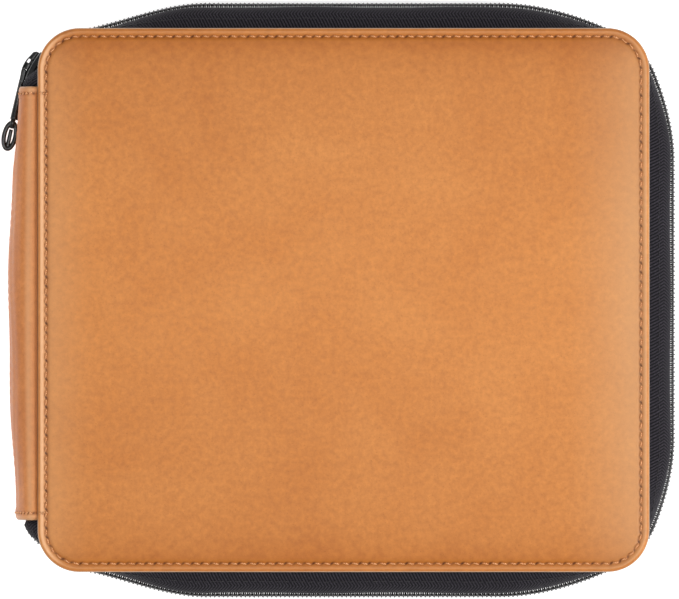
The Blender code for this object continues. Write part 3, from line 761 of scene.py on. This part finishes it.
def zip_teeth(side, front):
    """One half of the coil in two stretches. Each tooth is a bead across the tape's edge, bowed outwards and
    sunk into the cloth at both ends; the halves stand half a pitch apart so that they mesh. They are parted
    on the slider's spine side, and the stretch the slider can pass over is a piece of its own with its own
    mesh."""
    count = int((ZIP_LENGTH - 0.0006) / TOOTH_PITCH)
    at = 0.0006 + (np.arange(count) + (0.5 if front else 0.0)) * TOOTH_PITCH
    height = np.array((-0.0038, -0.0034, -0.0026, -0.0012, 0.0002, 0.0006))
    bow = np.array((0.00235, 0.00170, 0.00095, 0.00060, 0.00100, 0.00150)) + (0.0 if front else 0.0003)
    radii = np.array((0.00022, 0.00034, 0.00042, 0.00042, 0.00050, 0.00026))
    for name, chosen in (("coil_by_spine", at[at < SLIDER_REACH]), ("coil_teeth", at[at >= SLIDER_REACH])):
        centre, out = along_zip(chosen, 0.0)
        centre = centre + 0.62 * out * closed_end_flare(chosen)[:, None]
        parted = 0.0017 * np.clip((SLIDER_AT + 0.0015 - chosen) / 0.003, 0, 1)
        paths = np.zeros((len(chosen), len(height), 3))
        paths[..., :2] = centre[:, None, :] - out[:, None, :] * bow[None, :, None]
        paths[..., 2] = MID + height[None, :] - parted[:, None]
        step = np.stack((-out[:, 1], out[:, 0], 0 * out[:, 0]), 1)
        out3 = np.stack((out[:, 0], out[:, 1], 0 * out[:, 0]), 1)
        piece = beads(side + "_" + name, turn_over(paths, front), radii, step, out3, sides=8)
        place(piece, side + "_cover", "zip_coil", side + "_zip_coil", material=COIL_NYLON)
        if name == "coil_by_spine":
            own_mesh(piece)


def tape_seam(side, front):
    """The row of black stitches that runs along the tape just outside the cover's edge."""
    pitch = 0.0030
    count = int(ZIP_LENGTH / pitch)
    t = np.array((0.10, 0.30, 0.70, 0.90))
    distance = ((np.arange(count)[:, None] + t[None, :]) * pitch).ravel()
    grid, _ = tape_section(distance)
    column = 7
    across = grid[:, column + 1] - grid[:, column - 1]
    along = np.gradient(grid[:, column], axis=0)
    normal = np.cross(along, across)
    normal /= np.linalg.norm(normal, axis=1)[:, None]
    normal *= np.sign((normal[:, :2] * along_zip(distance, 0)[1]).sum(1) - 0.4 * normal[:, 2])[:, None]
    lift = np.tile((0.0001, 0.0004, 0.0004, 0.0001), count)
    paths = (grid[:, column] + normal * lift[:, None]).reshape(count, len(t), 3)
    across /= np.linalg.norm(across, axis=1)[:, None]
    section_side = across.reshape(count, len(t), 3)[:, 1]
    section_up = normal.reshape(count, len(t), 3)[:, 1]
    paths = turn_over(paths, front)
    if front:
        section_side = section_side * (1, 1, -1)
        section_up = section_up * (1, 1, -1)
    radii = np.array((0.00012, 0.00022, 0.00022, 0.00012))
    piece = beads(side + "_tape_seam", paths, radii, section_side, section_up, sides=5)
    return place(piece, side + "_cover", "zip_tape", material=BLACK_THREAD)


# ---- Spine

def spine_section(y, turn, inset):
    """The spine's wall, places for each y and turn (-90 at the back cover to 90 at the front).

    A superellipse section, boxier near the covers and pulled in at the creases, pinched towards both ends,
    with a dent where the pull lies against it.
    """
    y = y[:, None]
    turn = turn[None, :]
    sine = np.sin(turn)
    lift = np.sign(sine) * np.abs(sine) ** 0.92
    crease = 0.0011 * np.exp(-(((np.abs(turn) - math.pi / 2) / 0.11) ** 2))
    half = 0.0210 - inset
    z = MID + half * lift - np.sign(sine) * crease + 0 * y
    pinch = 0.0027 * (y / 0.080) ** 2
    dent = 0.0034 / (1 + np.exp(-(y - 0.056) / 0.003)) * np.exp(-(((z - MID) / 0.0090) ** 2))
    reach = (0.0110 - pinch - inset) * np.abs(np.cos(turn)) ** 0.80
    x = HINGE_X + 0.0001 - reach + dent * np.cos(turn)
    return np.stack(np.broadcast_arrays(x, y, z), -1)


SPINE_STITCHES = 16


def wrinkles(y, turn):
    """Fine crossways wrinkles and slow ripples of the soft leather, in metres, outwards positive."""
    y = y[:, None]
    turn = turn[None, :]
    fade = np.cos(turn) ** 2
    fine = 0.00007 * np.sin(y * 1900 + 3 * np.sin(turn * 3 + y * 40)) * (0.5 + 0.5 * np.sin(y * 210 + 1.3))
    slow = 0.00028 * np.sin(y * 120 + 0.8 * np.sin(turn * 2)) + 0.0002 * np.sin(y * 53 + 2.1)
    lengthways = 0.00010 * np.sin(turn * 17 + 2.0 * np.sin(y * 60))
    return (fine + slow + lengthways) * fade


def spine_leather():
    """The soft spine with a hem folded at each end."""
    low, high = spine_low.y, spine_high.y
    y = np.linspace(low, high, 330)
    turn = np.radians(np.linspace(-90, 90, 180))
    grid = spine_section(y, turn, 0.0007)
    outward = np.stack((-np.cos(turn), 0 * turn, np.sin(turn)), 1)[None]
    from_end = np.minimum(y - low, high - y)
    hem = 0.00035 * (1 - 1 / (1 + np.exp(-(from_end - 0.0036) / 0.00022)))
    valley = -0.00030 * np.exp(-(((from_end - HEM_INSET) / 0.0005) ** 2))
    tip = -0.0005 * np.exp(-from_end / 0.0004)
    calm = np.clip((from_end - 0.003) / 0.006, 0, 1)[:, None]
    height = (hem + valley + tip)[:, None] + wrinkles(y, turn) * calm
    grid = grid + outward * height[:, :, None]
    # painted shade along the hem's stitch row, and below it in the creases where the spine meets the covers
    seam = 0.5 * np.exp(-(((from_end - HEM_INSET) / 0.0007) ** 2))[:, None] + 0 * turn[None]
    crease = 0.7 * np.clip(1.0 - (math.pi / 2 - np.abs(turn)) / 0.16, 0, 1)[None] + 0 * seam
    edge = 0.6 * np.exp(-((from_end / 0.0005) ** 2))[:, None] + 0 * turn[None]
    # painted highlight along each hem's folded end and along the band where the spine turns up towards each
    # cover
    pale = 0.30 * np.exp(-(((from_end - 0.0010) / 0.0007) ** 2))[:, None] + 0.45 * np.exp(
        -(((np.abs(turn) - 1.33) / 0.12) ** 2))[None]
    # painted shade on the spine's outer part, which faces away from the light
    painted_shade = 0.50 * np.clip((1.15 - np.abs(turn)) / 0.30, 0, 1)[None] + 0 * seam
    count = (turn + math.radians(82)) / math.radians(164) * SPINE_STITCHES
    beside = (count - np.round(count))[None] / SPINE_STITCHES * 0.055 - (from_end - HEM_INSET)[:, None] * 0.5
    # painted shade in the hem's needle holes
    hole = np.exp(-((beside / 0.00068) ** 2) - (((from_end - HEM_INSET) / 0.00056) ** 2)[:, None])
    piece = grid_object("spine_skin", grid, masks={"seam": np.clip(seam + crease, 0, 1), "edge": edge,
                                                   "hole": hole, "pale": pale, "painted_shade": painted_shade})
    modify(piece, "SOLIDIFY", "leather_thickness", thickness=0.0013, offset=0.0)
    place(piece, "spine", "spine_leather", "spine_leather", material=SPINE_LEATHER)
    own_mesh(piece)
    return piece


def spine_lining():
    """Cloth inside the spine."""
    y = np.linspace(spine_low.y + 0.001, spine_high.y - 0.001, 120)
    turn = np.radians(np.linspace(-88, 88, 40))
    grid = spine_section(y, turn, 0.0024)
    piece = grid_object("spine_lining_cloth", grid, uv=(y, turn * 0.02))
    modify(piece, "SOLIDIFY", "cloth_thickness", thickness=0.0005, offset=0.0)
    place(piece, "spine", "lining", "spine_lining", material=LINING_CLOTH)
    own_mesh(piece)
    return piece


def spine_stitches(name, y_at):
    """A row of thread across the spine at a hem."""
    count = SPINE_STITCHES
    t = np.array((0.12, 0.30, 0.50, 0.70, 0.88))
    turn = np.radians(-82 + 164 * (np.arange(count)[:, None] + t[None, :]) / count)
    points = spine_section(np.array((y_at,)), turn.ravel(), 0.0)[0].reshape(count, len(t), 3)
    outward = np.stack((-np.cos(turn), 0 * turn, np.sin(turn)), -1)
    lift = -0.00015 + 0.00040 * np.sin(math.pi * t)
    points = points + outward * lift[None, :, None]
    points[..., 1] += ((t - 0.5) * 0.0006)[None, :]
    along = np.tile((0.0, 1.0, 0.0), (count, 1))
    radii = np.array((0.00016, 0.00036, 0.00041, 0.00036, 0.00016))
    piece = beads(name, points, radii, along, outward[:, 2])
    place(piece, "spine", "thread", material=TAN_THREAD)
    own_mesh(piece)
    return piece


def border_tacks(side, front, name, y_at):
    """Three stitches that carry the hem's row over the cover's border to its stitch line."""
    x = -HALF_X + np.array((0.0004, 0.0016, 0.0027))
    t = np.array((0.1, 0.35, 0.65, 0.9))
    paths = np.zeros((3, 4, 3))
    paths[..., 0] = x[:, None] + (t * 0.00125)[None]
    paths[..., 1] = y_at + ((t - 0.5) * 0.0005)[None]
    paths[..., 2] = np.array((0.0002, -0.00030, -0.00030, 0.0002))[None] - 0.0001
    paths[2, :, 2] += 0.0004
    side_way = np.tile((0.0, 1.0, 0.0), (3, 1))
    up = np.tile((0.0, 0.0, -1.0), (3, 1))
    paths = turn_over(paths, front)
    radii = np.array((0.00014, 0.00032, 0.00032, 0.00014))
    piece = beads(name, paths, radii, side_way, -up if front else up)
    return place(piece, side + "_cover", "thread", material=TAN_THREAD)


# ---- Slider and pull

def slider_frame(along, radial):
    """Places in the slider's directions: along the bent zip away from the spine, and out from its centre."""
    along, radial = np.broadcast_arrays(np.asarray(along, float), np.asarray(radial, float))
    turn = math.radians(SLIDER_TURN)
    outward = np.array((math.cos(turn), math.sin(turn)))
    forward = np.array((math.sin(turn), -math.cos(turn)))
    centre = np.array((ARC_X, ARC_Y))
    return centre + radial[..., None] * outward + along[..., None] * forward


def bent(along, radial):
    """Places at an angle along the corner arc, for lengths measured at the plate."""
    turn = math.radians(SLIDER_TURN) - np.asarray(along) / 0.0290
    return np.stack((ARC_X + radial * np.cos(turn), ARC_Y + radial * np.sin(turn)), -1)


def slider_plate(name, radial, lips):
    """A cast plate bent to the zip: wide at the throat, narrower at the tail, lips along both sides."""
    along = 0.0058 * np.sin(np.linspace(-math.pi / 2, math.pi / 2, 40))
    share = (along + 0.0058) / 0.0116
    half = 0.0052 - 0.0009 * share**1.5
    end = 1 - np.abs(along / 0.00585) ** 7
    half = half * (0.62 + 0.38 * np.clip(end, 0, 1) ** 0.5)
    q = np.linspace(-1, 1, 31)
    across = np.clip(np.abs(q) / 0.72, 0, 1) ** 0.96 * np.sign(q)
    drop = np.clip((np.abs(q) - 0.70) / 0.30, 0, 1) ** 1.4 * lips
    grid = np.zeros((len(along), len(q), 3))
    place_r = radial - drop[None, :] + 0.00018 * np.cos(q * math.pi / 2)[None, :] + 0 * along[:, None]
    grid[..., :2] = bent(along[:, None] + 0 * q[None, :], place_r)
    grid[..., 2] = MID + half[:, None] * across[None, :]
    piece = grid_object(name, grid)
    modify(piece, "SOLIDIFY", "wall", thickness=0.0008, offset=0.0)
    modify(piece, "BEVEL", "soft_edges", width=0.00025, segments=2, limit_method="ANGLE")
    return piece


def slider():
    """Outer plate with lips, inner plate, the post between them and the bridge for the pull."""
    outer = slider_plate("slider_outer_plate", 0.02985, 0.0017)
    place(outer, "slider", "black_metal", "slider_body", material=BLACK_ENAMEL)
    inner = slider_plate("slider_inner_plate", 0.02575, 0.0)
    place(inner, "slider", "black_metal", material=BLACK_ENAMEL)
    radial = np.linspace(0.0257, 0.0299, 7)
    turn = np.arange(16) / 16 * 2 * math.pi
    swell = 1 + 0.35 * ((radial - 0.0278) / 0.0021) ** 2
    post = np.zeros((len(radial), len(turn), 3))
    lengthways = -0.0036 + 0.0012 * swell[:, None] * np.cos(turn)[None, :]
    post[..., :2] = bent(lengthways, radial[:, None] + 0 * turn[None])
    post[..., 2] = MID + 0.00062 * np.sin(turn)[None, :] * swell[:, None] ** 0.3
    piece = grid_object("slider_post", post, wrap_v=True, ends=True)
    fix_outside(piece)
    place(piece, "slider", "black_metal", material=BLACK_ENAMEL)
    outward = slider_frame(0.0, 1.0) - slider_frame(0.0, 0.0)
    outward = np.array((*outward, 0.0))
    roof = np.linspace(0, 1, 40)
    arch = 0.0023 * np.sin(math.pi * roof) ** 0.5
    parts = [bridge_part("bridge_roof", -0.0056 + 0.0112 * roof, 0.0302 + arch, 0.0311 + arch - 0.0006 * roof,
                         outward)]
    for start, end, top in ((-0.0057, -0.0020, 0.0306), (-0.0020, 0.0005, 0.0322), (0.0005, 0.0020, 0.0310),
                            (0.0020, 0.0057, 0.0322)):
        web = np.linspace(start, end, 8)
        under = np.minimum(top + 0.0006 * np.cos(web * 330), 0.0311 + (0.0057 - web) * 1.5)
        parts.append(bridge_part("bridge_web", web, 0.0300 - web**2 / 0.058, under, outward))
    place(join("slider_bridge", parts), "slider", "black_metal", "slider_crown", material=BLACK_ENAMEL)


def bridge_part(name, along, inner, outer, outward):
    """A stretch of the slider's bridge between an inner and an outer radius."""
    path = np.zeros((len(along), 3))
    path[:, :2] = slider_frame(along, (inner + outer) / 2)
    path[:, 2] = MID
    ways = np.tile(outward, (len(along), 1))
    ups = np.tile((0.0, 0.0, 1.0), (len(along), 1))
    return bar(name, path, ways, ups, (outer - inner) / 2, 0.0015 + 0 * along, 3.0)


PULL_PIN = np.array(JOINTS["pull_swing"]["pos_m"])
RING_PIVOT = np.array(JOINTS["ring_swing"]["pos_m"])
PULL_WAY = (RING_PIVOT - PULL_PIN) / np.linalg.norm(RING_PIVOT - PULL_PIN)
PULL_LENGTH = float(np.linalg.norm(RING_PIVOT - PULL_PIN))
PULL_SIDE = np.array((-PULL_WAY[1], PULL_WAY[0], 0.0))
UP = np.array((0.0, 0.0, 1.0))


def pull():
    """The forked pull arm with its pin and eye, in one piece object."""
    parts = []
    t = np.linspace(0, 1, 24)
    path = PULL_PIN + PULL_WAY * (0.0038 + (PULL_LENGTH - 0.0051) * t)[:, None]
    across, up = np.tile(PULL_SIDE, (24, 1)), np.tile(UP, (24, 1))
    path = path + PULL_SIDE * (0.0002 * t)[:, None]
    thick = 0.00105 + 0.00042 * t
    tall = 0.00235 - 0.00030 * t - 0.0003 * np.sin(math.pi * t)
    parts.append(bar("arm_bar", path, across, up, thick, tall, 3.0))
    t = np.linspace(0, 1, 14)
    for sign in (-1, 1):
        path = PULL_PIN + PULL_WAY * (-0.0009 + 0.0056 * t)[:, None] + UP * sign * 0.00205
        tip = np.sqrt(np.clip(1 - ((0.16 - t) / 0.16).clip(0) ** 2, 0.05, 1))
        parts.append(bar("arm_prong", path, across[:14], up[:14], 0.00090 * tip, 0.00036 + 0 * t, 3.5))
    turn = np.arange(36) / 36 * 2 * math.pi
    radial = PULL_WAY[None] * np.cos(turn)[:, None] + UP[None] * np.sin(turn)[:, None]
    parts.append(swept("arm_eye", RING_PIVOT + radial * 0.00178, np.tile(PULL_SIDE, (36, 1)), radial,
                       round_bar(0.00085, 0.00036, 2.6, 14), closed=True))
    rod = PULL_PIN + UP * np.linspace(-0.0021, 0.0021, 5)[:, None]
    parts.append(swept("arm_pin", rod, across[:5], np.tile(PULL_WAY, (5, 1)),
                       round_bar(0.00043, 0.00043, 2.0, 14)))
    piece = join("pull_strip", parts)
    return place(piece, "pull", "black_metal", "pull_arm", material=BLACK_ENAMEL)


def join(name, parts):
    """Join objects into one piece."""
    for part in parts:
        fix_outside(part)
    bpy.ops.object.select_all(action="DESELECT")
    for part in parts:
        part.select_set(True)
    bpy.context.view_layer.objects.active = parts[0]
    bpy.ops.object.join()
    parts[0].name = name
    return parts[0]


RING_HALF_LENGTH = 0.0049
RING_HALF_WIDTH = 0.0021


def ring():
    """The oval wire ring with a rib up its middle."""
    turn = np.arange(60) / 60 * 2 * math.pi
    centre = RING_PIVOT + PULL_WAY * RING_HALF_LENGTH
    path = centre - PULL_WAY[None] * (RING_HALF_LENGTH * np.cos(turn))[:, None]
    path = path + PULL_SIDE[None] * (RING_HALF_WIDTH * np.sin(turn))[:, None]
    step = np.roll(path, -1, 0) - np.roll(path, 1, 0)
    step /= np.linalg.norm(step, axis=1)[:, None]
    side = np.cross(step, UP)
    up = np.tile(UP, (60, 1))
    loop = swept("ring_wire", path, side, up, round_bar(0.00088, 0.00090, 2.3, 16), closed=True)
    t = np.linspace(0, 1, 10)
    path = RING_PIVOT + PULL_WAY * (0.0025 + 0.0070 * t)[:, None]
    rib = bar("ring_rib", path, np.tile(PULL_SIDE, (10, 1)), np.tile(UP, (10, 1)), 0.00072 + 0.0001 * t,
              0.00070 + 0 * t, 2.5)
    piece = join("pull_ring_loop", [loop, rib])
    return place(piece, "ring", "black_metal", "pull_ring", material=BLACK_ENAMEL)


# ---- Inside: linings, bands and leaf

def lining(side, front):
    """Lining cloth over one cover: flat over the board, its folded edge rolled down on the seam."""
    share = np.arange(480) / 480
    low, high = lining_low.z, lining_high.z
    rows = [(0.0985, high + 0.0002), (0.060, high + 0.0002), (0.030, high + 0.0002), (0.014, high + 0.0001),
            (0.0095, high), (0.0080, high - 0.0001), (0.0066, high - 0.0001), (0.0052, high - 0.0003),
            (0.0042, high), (0.0034, high - 0.0001), (0.0028, high - 0.0003), (0.0027, low + 0.0001),
            (0.0032, low), (0.0080, low), (0.0985, low)]
    grid = np.zeros((len(rows), len(share), 3))
    for index, (inset, height) in enumerate(rows):
        points, _ = cover_ring(inset, share)
        grid[index, :, :2] = points
        pucker = 0.00010 * np.sin(share * 480 * 0.55) * math.exp(-((inset - 0.006) / 0.003) ** 2)
        grid[index, :, 2] = height + pucker
    piece = grid_object(side + "_lining_cloth", turn_over(grid, front), wrap_v=True)
    close_middle(piece, len(rows), len(share))
    planar_uv(piece)
    return place(piece, side + "_cover", "lining", side + "_lining", material=LINING_CLOTH)


def planar_uv(piece):
    """UV in metres, straight down onto the piece."""
    mesh = piece.data
    layer = mesh.uv_layers.get("cloth") or mesh.uv_layers.new(name="cloth")
    places = np.zeros(len(mesh.vertices) * 3, np.float32)
    mesh.vertices.foreach_get("co", places)
    corners = np.zeros(len(mesh.loops), np.int32)
    mesh.loops.foreach_get("vertex_index", corners)
    layer.data.foreach_set("uv", places.reshape(-1, 3)[corners][:, :2].ravel())


LOOPS = 22


def loop_band(name, body, node, base, sign):
    """An elastic band sewn down at even places; between them it stands up in low empty loops."""
    low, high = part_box(node)
    x = np.linspace(low.x, high.x, LOOPS * 16 + 1)
    y = np.linspace(low.y, high.y, 24)
    share = (x - low.x) / (high.x - low.x) * LOOPS
    arch = np.abs(np.sin(share * math.pi)) ** 0.7
    ends = np.clip(np.minimum(share, LOOPS - share) / 0.3, 0, 1)
    height = 0.0006 + 0.0011 * arch * ends
    lift = height[:, None] * (1 - 0.12 * (np.abs(y) / abs(y[0]))[None, :] ** 6)
    grid = np.zeros((len(x), len(y), 3))
    grid[..., 0] = x[:, None]
    grid[..., 1] = y[None, :] * (1 - 0.008 * arch[:, None])
    grid[..., 2] = base + sign * lift
    piece = grid_object(name, grid, uv=(x, y))
    modify(piece, "SOLIDIFY", "elastic_thickness", thickness=0.0007, offset=0.0)
    place(piece, body, "elastic", node, material=ELASTIC_CLOTH)
    seam_at = low.x + (high.x - low.x) * np.arange(LOOPS + 1) / LOOPS
    seam_at[0] += 0.0008
    seam_at[-1] -= 0.0008
    step_y = np.linspace(low.y + 0.001, high.y - 0.001, 19)
    t = np.array((0.1, 0.35, 0.65, 0.9))
    length = step_y[1] - step_y[0]
    at_x, at_y = np.meshgrid(seam_at, step_y[:-1], indexing="ij")
    paths = np.zeros((at_x.size, len(t), 3))
    paths[..., 0] = at_x.ravel()[:, None]
    paths[..., 1] = at_y.ravel()[:, None] + (t * length)[None]
    paths[..., 2] = base + sign * np.array((0.0008, 0.00115, 0.00115, 0.0008))[None]
    ways = np.tile((1.0, 0.0, 0.0), (at_x.size, 1))
    up = np.tile((0.0, 0.0, 1.0), (at_x.size, 1))
    thread = beads(name + "_stitches", paths, np.array((0.0001, 0.0002, 0.0002, 0.0001)), ways, up, sides=5)
    place(thread, body, "elastic", material=BLACK_THREAD)


LEAF_CORNER = 0.012
LEAF_TAB_END = -0.104
LEAF_SLOPE_END = -0.076


def leaf_half_height(x):
    """Half the leaf's height at x: a tab by the spine, a slope, then full height and round far corners."""
    half = 0.052 + 0.038 * np.clip((x - LEAF_TAB_END) / (LEAF_SLOPE_END - LEAF_TAB_END), 0, 1)
    past = np.clip(x - (leaf_high.x - LEAF_CORNER), 0, LEAF_CORNER)
    return half - LEAF_CORNER + np.sqrt(np.clip(LEAF_CORNER**2 - past**2, 0, None))


def leaf_columns():
    """x places across the leaf, closer together at its round corners."""
    turn = np.linspace(0, math.pi / 2, 14)
    flat = np.concatenate((np.linspace(leaf_low.x, LEAF_TAB_END, 8),
                           np.linspace(LEAF_TAB_END, LEAF_SLOPE_END, 14)[1:],
                           np.linspace(LEAF_SLOPE_END, leaf_high.x - LEAF_CORNER, 80)[1:]))
    return np.concatenate((flat, leaf_high.x - LEAF_CORNER + LEAF_CORNER * np.sin(turn[1:])))


def leaf_face(name, node):
    """One cloth face of the leaf with faint quilted waves."""
    low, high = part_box(node)
    x = leaf_columns()
    v = np.linspace(-1, 1, 60)
    half = leaf_half_height(x)
    grid = np.zeros((len(x), len(v), 3))
    grid[..., 0] = x[:, None]
    grid[..., 1] = half[:, None] * v[None, :]
    grid[..., 2] = (low.z + high.z) / 2 + 0.00006 * np.sin(x * 260)[:, None] * np.cos(v * 9)[None, :]
    piece = grid_object(name, grid, uv=(x, v * 0.09))
    modify(piece, "SOLIDIFY", "cloth_thickness", thickness=0.0006, offset=0.0)
    return place(piece, "leaf", "lining", node, material=LINING_CLOTH)


def leaf_binding():
    """Grosgrain binding folded round the leaf's edge on three sides."""
    x = leaf_columns()
    x = x[x > leaf_low.x + 0.002]
    upper = np.stack((x, leaf_half_height(x)), 1)
    side = np.stack((np.full(20, leaf_high.x), np.linspace(0.077, -0.077, 20)), 1)
    line = np.concatenate((upper, side, upper[::-1] * (1, -1)))
    step = np.gradient(line, axis=0)
    step /= np.linalg.norm(step, axis=1)[:, None]
    out = np.stack((-step[:, 1], step[:, 0], np.zeros(len(line))), 1)
    path = np.zeros((len(line), 3))
    path[:, :2] = line - out[:, :2] * 0.0003
    path[:, 2] = MID
    up = np.tile(UP, (len(line), 1))
    profile = round_bar(0.0020, 0.00185, 5.0, 24)
    piece = swept("leaf_edge_binding", path, out, up, profile)
    fix_outside(piece)
    planar_uv(piece)
    return place(piece, "leaf", "binding", "leaf_binding", material=ELASTIC_CLOTH)


def leaf_strip():
    """Cloth strip that hangs the leaf from the spine lining."""
    low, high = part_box("leaf_hinge_strip")
    x = np.linspace(high.x, low.x, 10)
    y = np.linspace(low.y, high.y, 60)
    grid = np.zeros((len(x), len(y), 3))
    inner = spine_section(y, np.zeros(1), 0.0031)[:, 0, 0]
    share = np.linspace(0, 1, len(x))
    grid[..., 0] = high.x + (inner - high.x)[None, :] * share[:, None]
    grid[..., 1] = y[None, :]
    grid[..., 2] = MID + 0.00008 * np.sin(y * 300)[None, :]
    piece = grid_object("leaf_hanging_strip", grid, uv=(x, y))
    modify(piece, "SOLIDIFY", "cloth_thickness", thickness=0.0006, offset=0.0)
    place(piece, "spine", "lining", "leaf_hinge_strip", material=LINING_CLOTH)
    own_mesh(piece)


def keep_cad_nodes():
    """The sealed inner pieces stay as CAD nodes with a proper finish."""
    board = gloss_material("grey_board", (0.30, 0.26, 0.21), 0.55, 500.0, 0.4)
    foam = gloss_material("pale_foam", (0.55, 0.53, 0.48), 0.55, 1400.0, 0.6)
    for node, finish in (("back_board", board), ("front_board", board), ("leaf_board", board),
                         ("back_padding", foam), ("front_padding", foam)):
        part = frame["nodes"][node]
        part.data.materials.clear()
        part.data.materials.append(finish)


# ---- Stage

def stage():
    """Pale floor, soft studio light and a long lens straight above the case."""
    bpy.ops.mesh.primitive_plane_add(size=6.0, location=(0, 0, FLOOR_Z))
    floor = bpy.context.object
    floor.name = "floor"
    made, _, shader = new_material("pale_floor", Roughness=0.9, Specular_IOR_Level=0.1)
    shader.inputs["Base Color"].default_value = (0.95, 0.95, 0.95, 1.0)
    shader.inputs["Emission Color"].default_value = (1.0, 1.0, 1.0, 1.0)
    shader.inputs["Emission Strength"].default_value = 0.7
    floor.data.materials.append(made)
    world = bpy.data.worlds.new("studio")
    bpy.context.scene.world = world
    world.use_nodes = True
    background = world.node_tree.nodes["Background"]
    background.inputs["Color"].default_value = (1.0, 1.0, 1.0, 1.0)
    background.inputs["Strength"].default_value = 0.42
    for name, location, size, power in (("overhead_strip", (0.14, 0.0, 0.75), (0.9, 0.16), 2.8),
                                        ("right_box", (1.1, -0.30, 0.7), (0.5, 0.5), 8.5),
                                        ("left_box", (-1.2, -0.2, 1.0), (0.6, 0.6), 5.0)):
        light = bpy.data.lights.new(name, "AREA")
        light.shape = "RECTANGLE"
        light.size, light.size_y = size
        light.energy = power
        lamp = bpy.data.objects.new(name, light)
        bpy.context.scene.collection.objects.link(lamp)
        lamp.location = location
        target = Vector((location[0], 0, 0)) if name == "overhead_strip" else Vector()
        lamp.rotation_euler = (target - lamp.location).to_track_quat("-Z", "Y").to_euler()
    camera = bpy.data.cameras.new("camera")
    camera.sensor_width = 36.0
    distance = 5.0
    view_width = 0.2512
    camera.lens = 36.0 * distance / view_width
    camera.clip_end = 50.0
    eye = bpy.data.objects.new("camera", camera)
    bpy.context.scene.collection.objects.link(eye)
    eye.location = (-0.0015, 0.0002, DEPTH + distance)
    bpy.context.scene.camera = eye
    bpy.context.scene.view_settings.view_transform = "Standard"


stage()
for cover_side, is_front in (("back", False), ("front", True)):
    cover_leather(cover_side, is_front)
    cover_stitches(cover_side, is_front)
    zip_tape(cover_side, is_front)
    zip_teeth(cover_side, is_front)
    tape_seam(cover_side, is_front)
    lining(cover_side, is_front)
    for hem_name, hem_y in (("top", HEM_ROWS[0]), ("bottom", HEM_ROWS[1])):
        border_tacks(cover_side, is_front, f"{cover_side}_{hem_name}_border_tacks", hem_y)
spine_leather()
spine_lining()
spine_stitches("spine_top_hem_stitches", HEM_ROWS[0])
spine_stitches("spine_bottom_hem_stitches", HEM_ROWS[1])
slider()
pull()
ring()
loop_band("back_elastic", "back_cover", "back_loop_band", lining_high.z + 0.0004, 1)
loop_band("front_elastic", "front_cover", "front_loop_band", DEPTH - lining_high.z - 0.0004, -1)
loop_band("leaf_back_elastic", "leaf", "leaf_loop_band_back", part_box("leaf_cloth_back")[0].z - 0.0002, -1)
loop_band("leaf_front_elastic", "leaf", "leaf_loop_band_front", leaf_high.z + 0.0002, 1)
leaf_face("leaf_back_face", "leaf_cloth_back")
leaf_face("leaf_front_face", "leaf_cloth_front")
leaf_binding()
leaf_strip()
keep_cad_nodes()
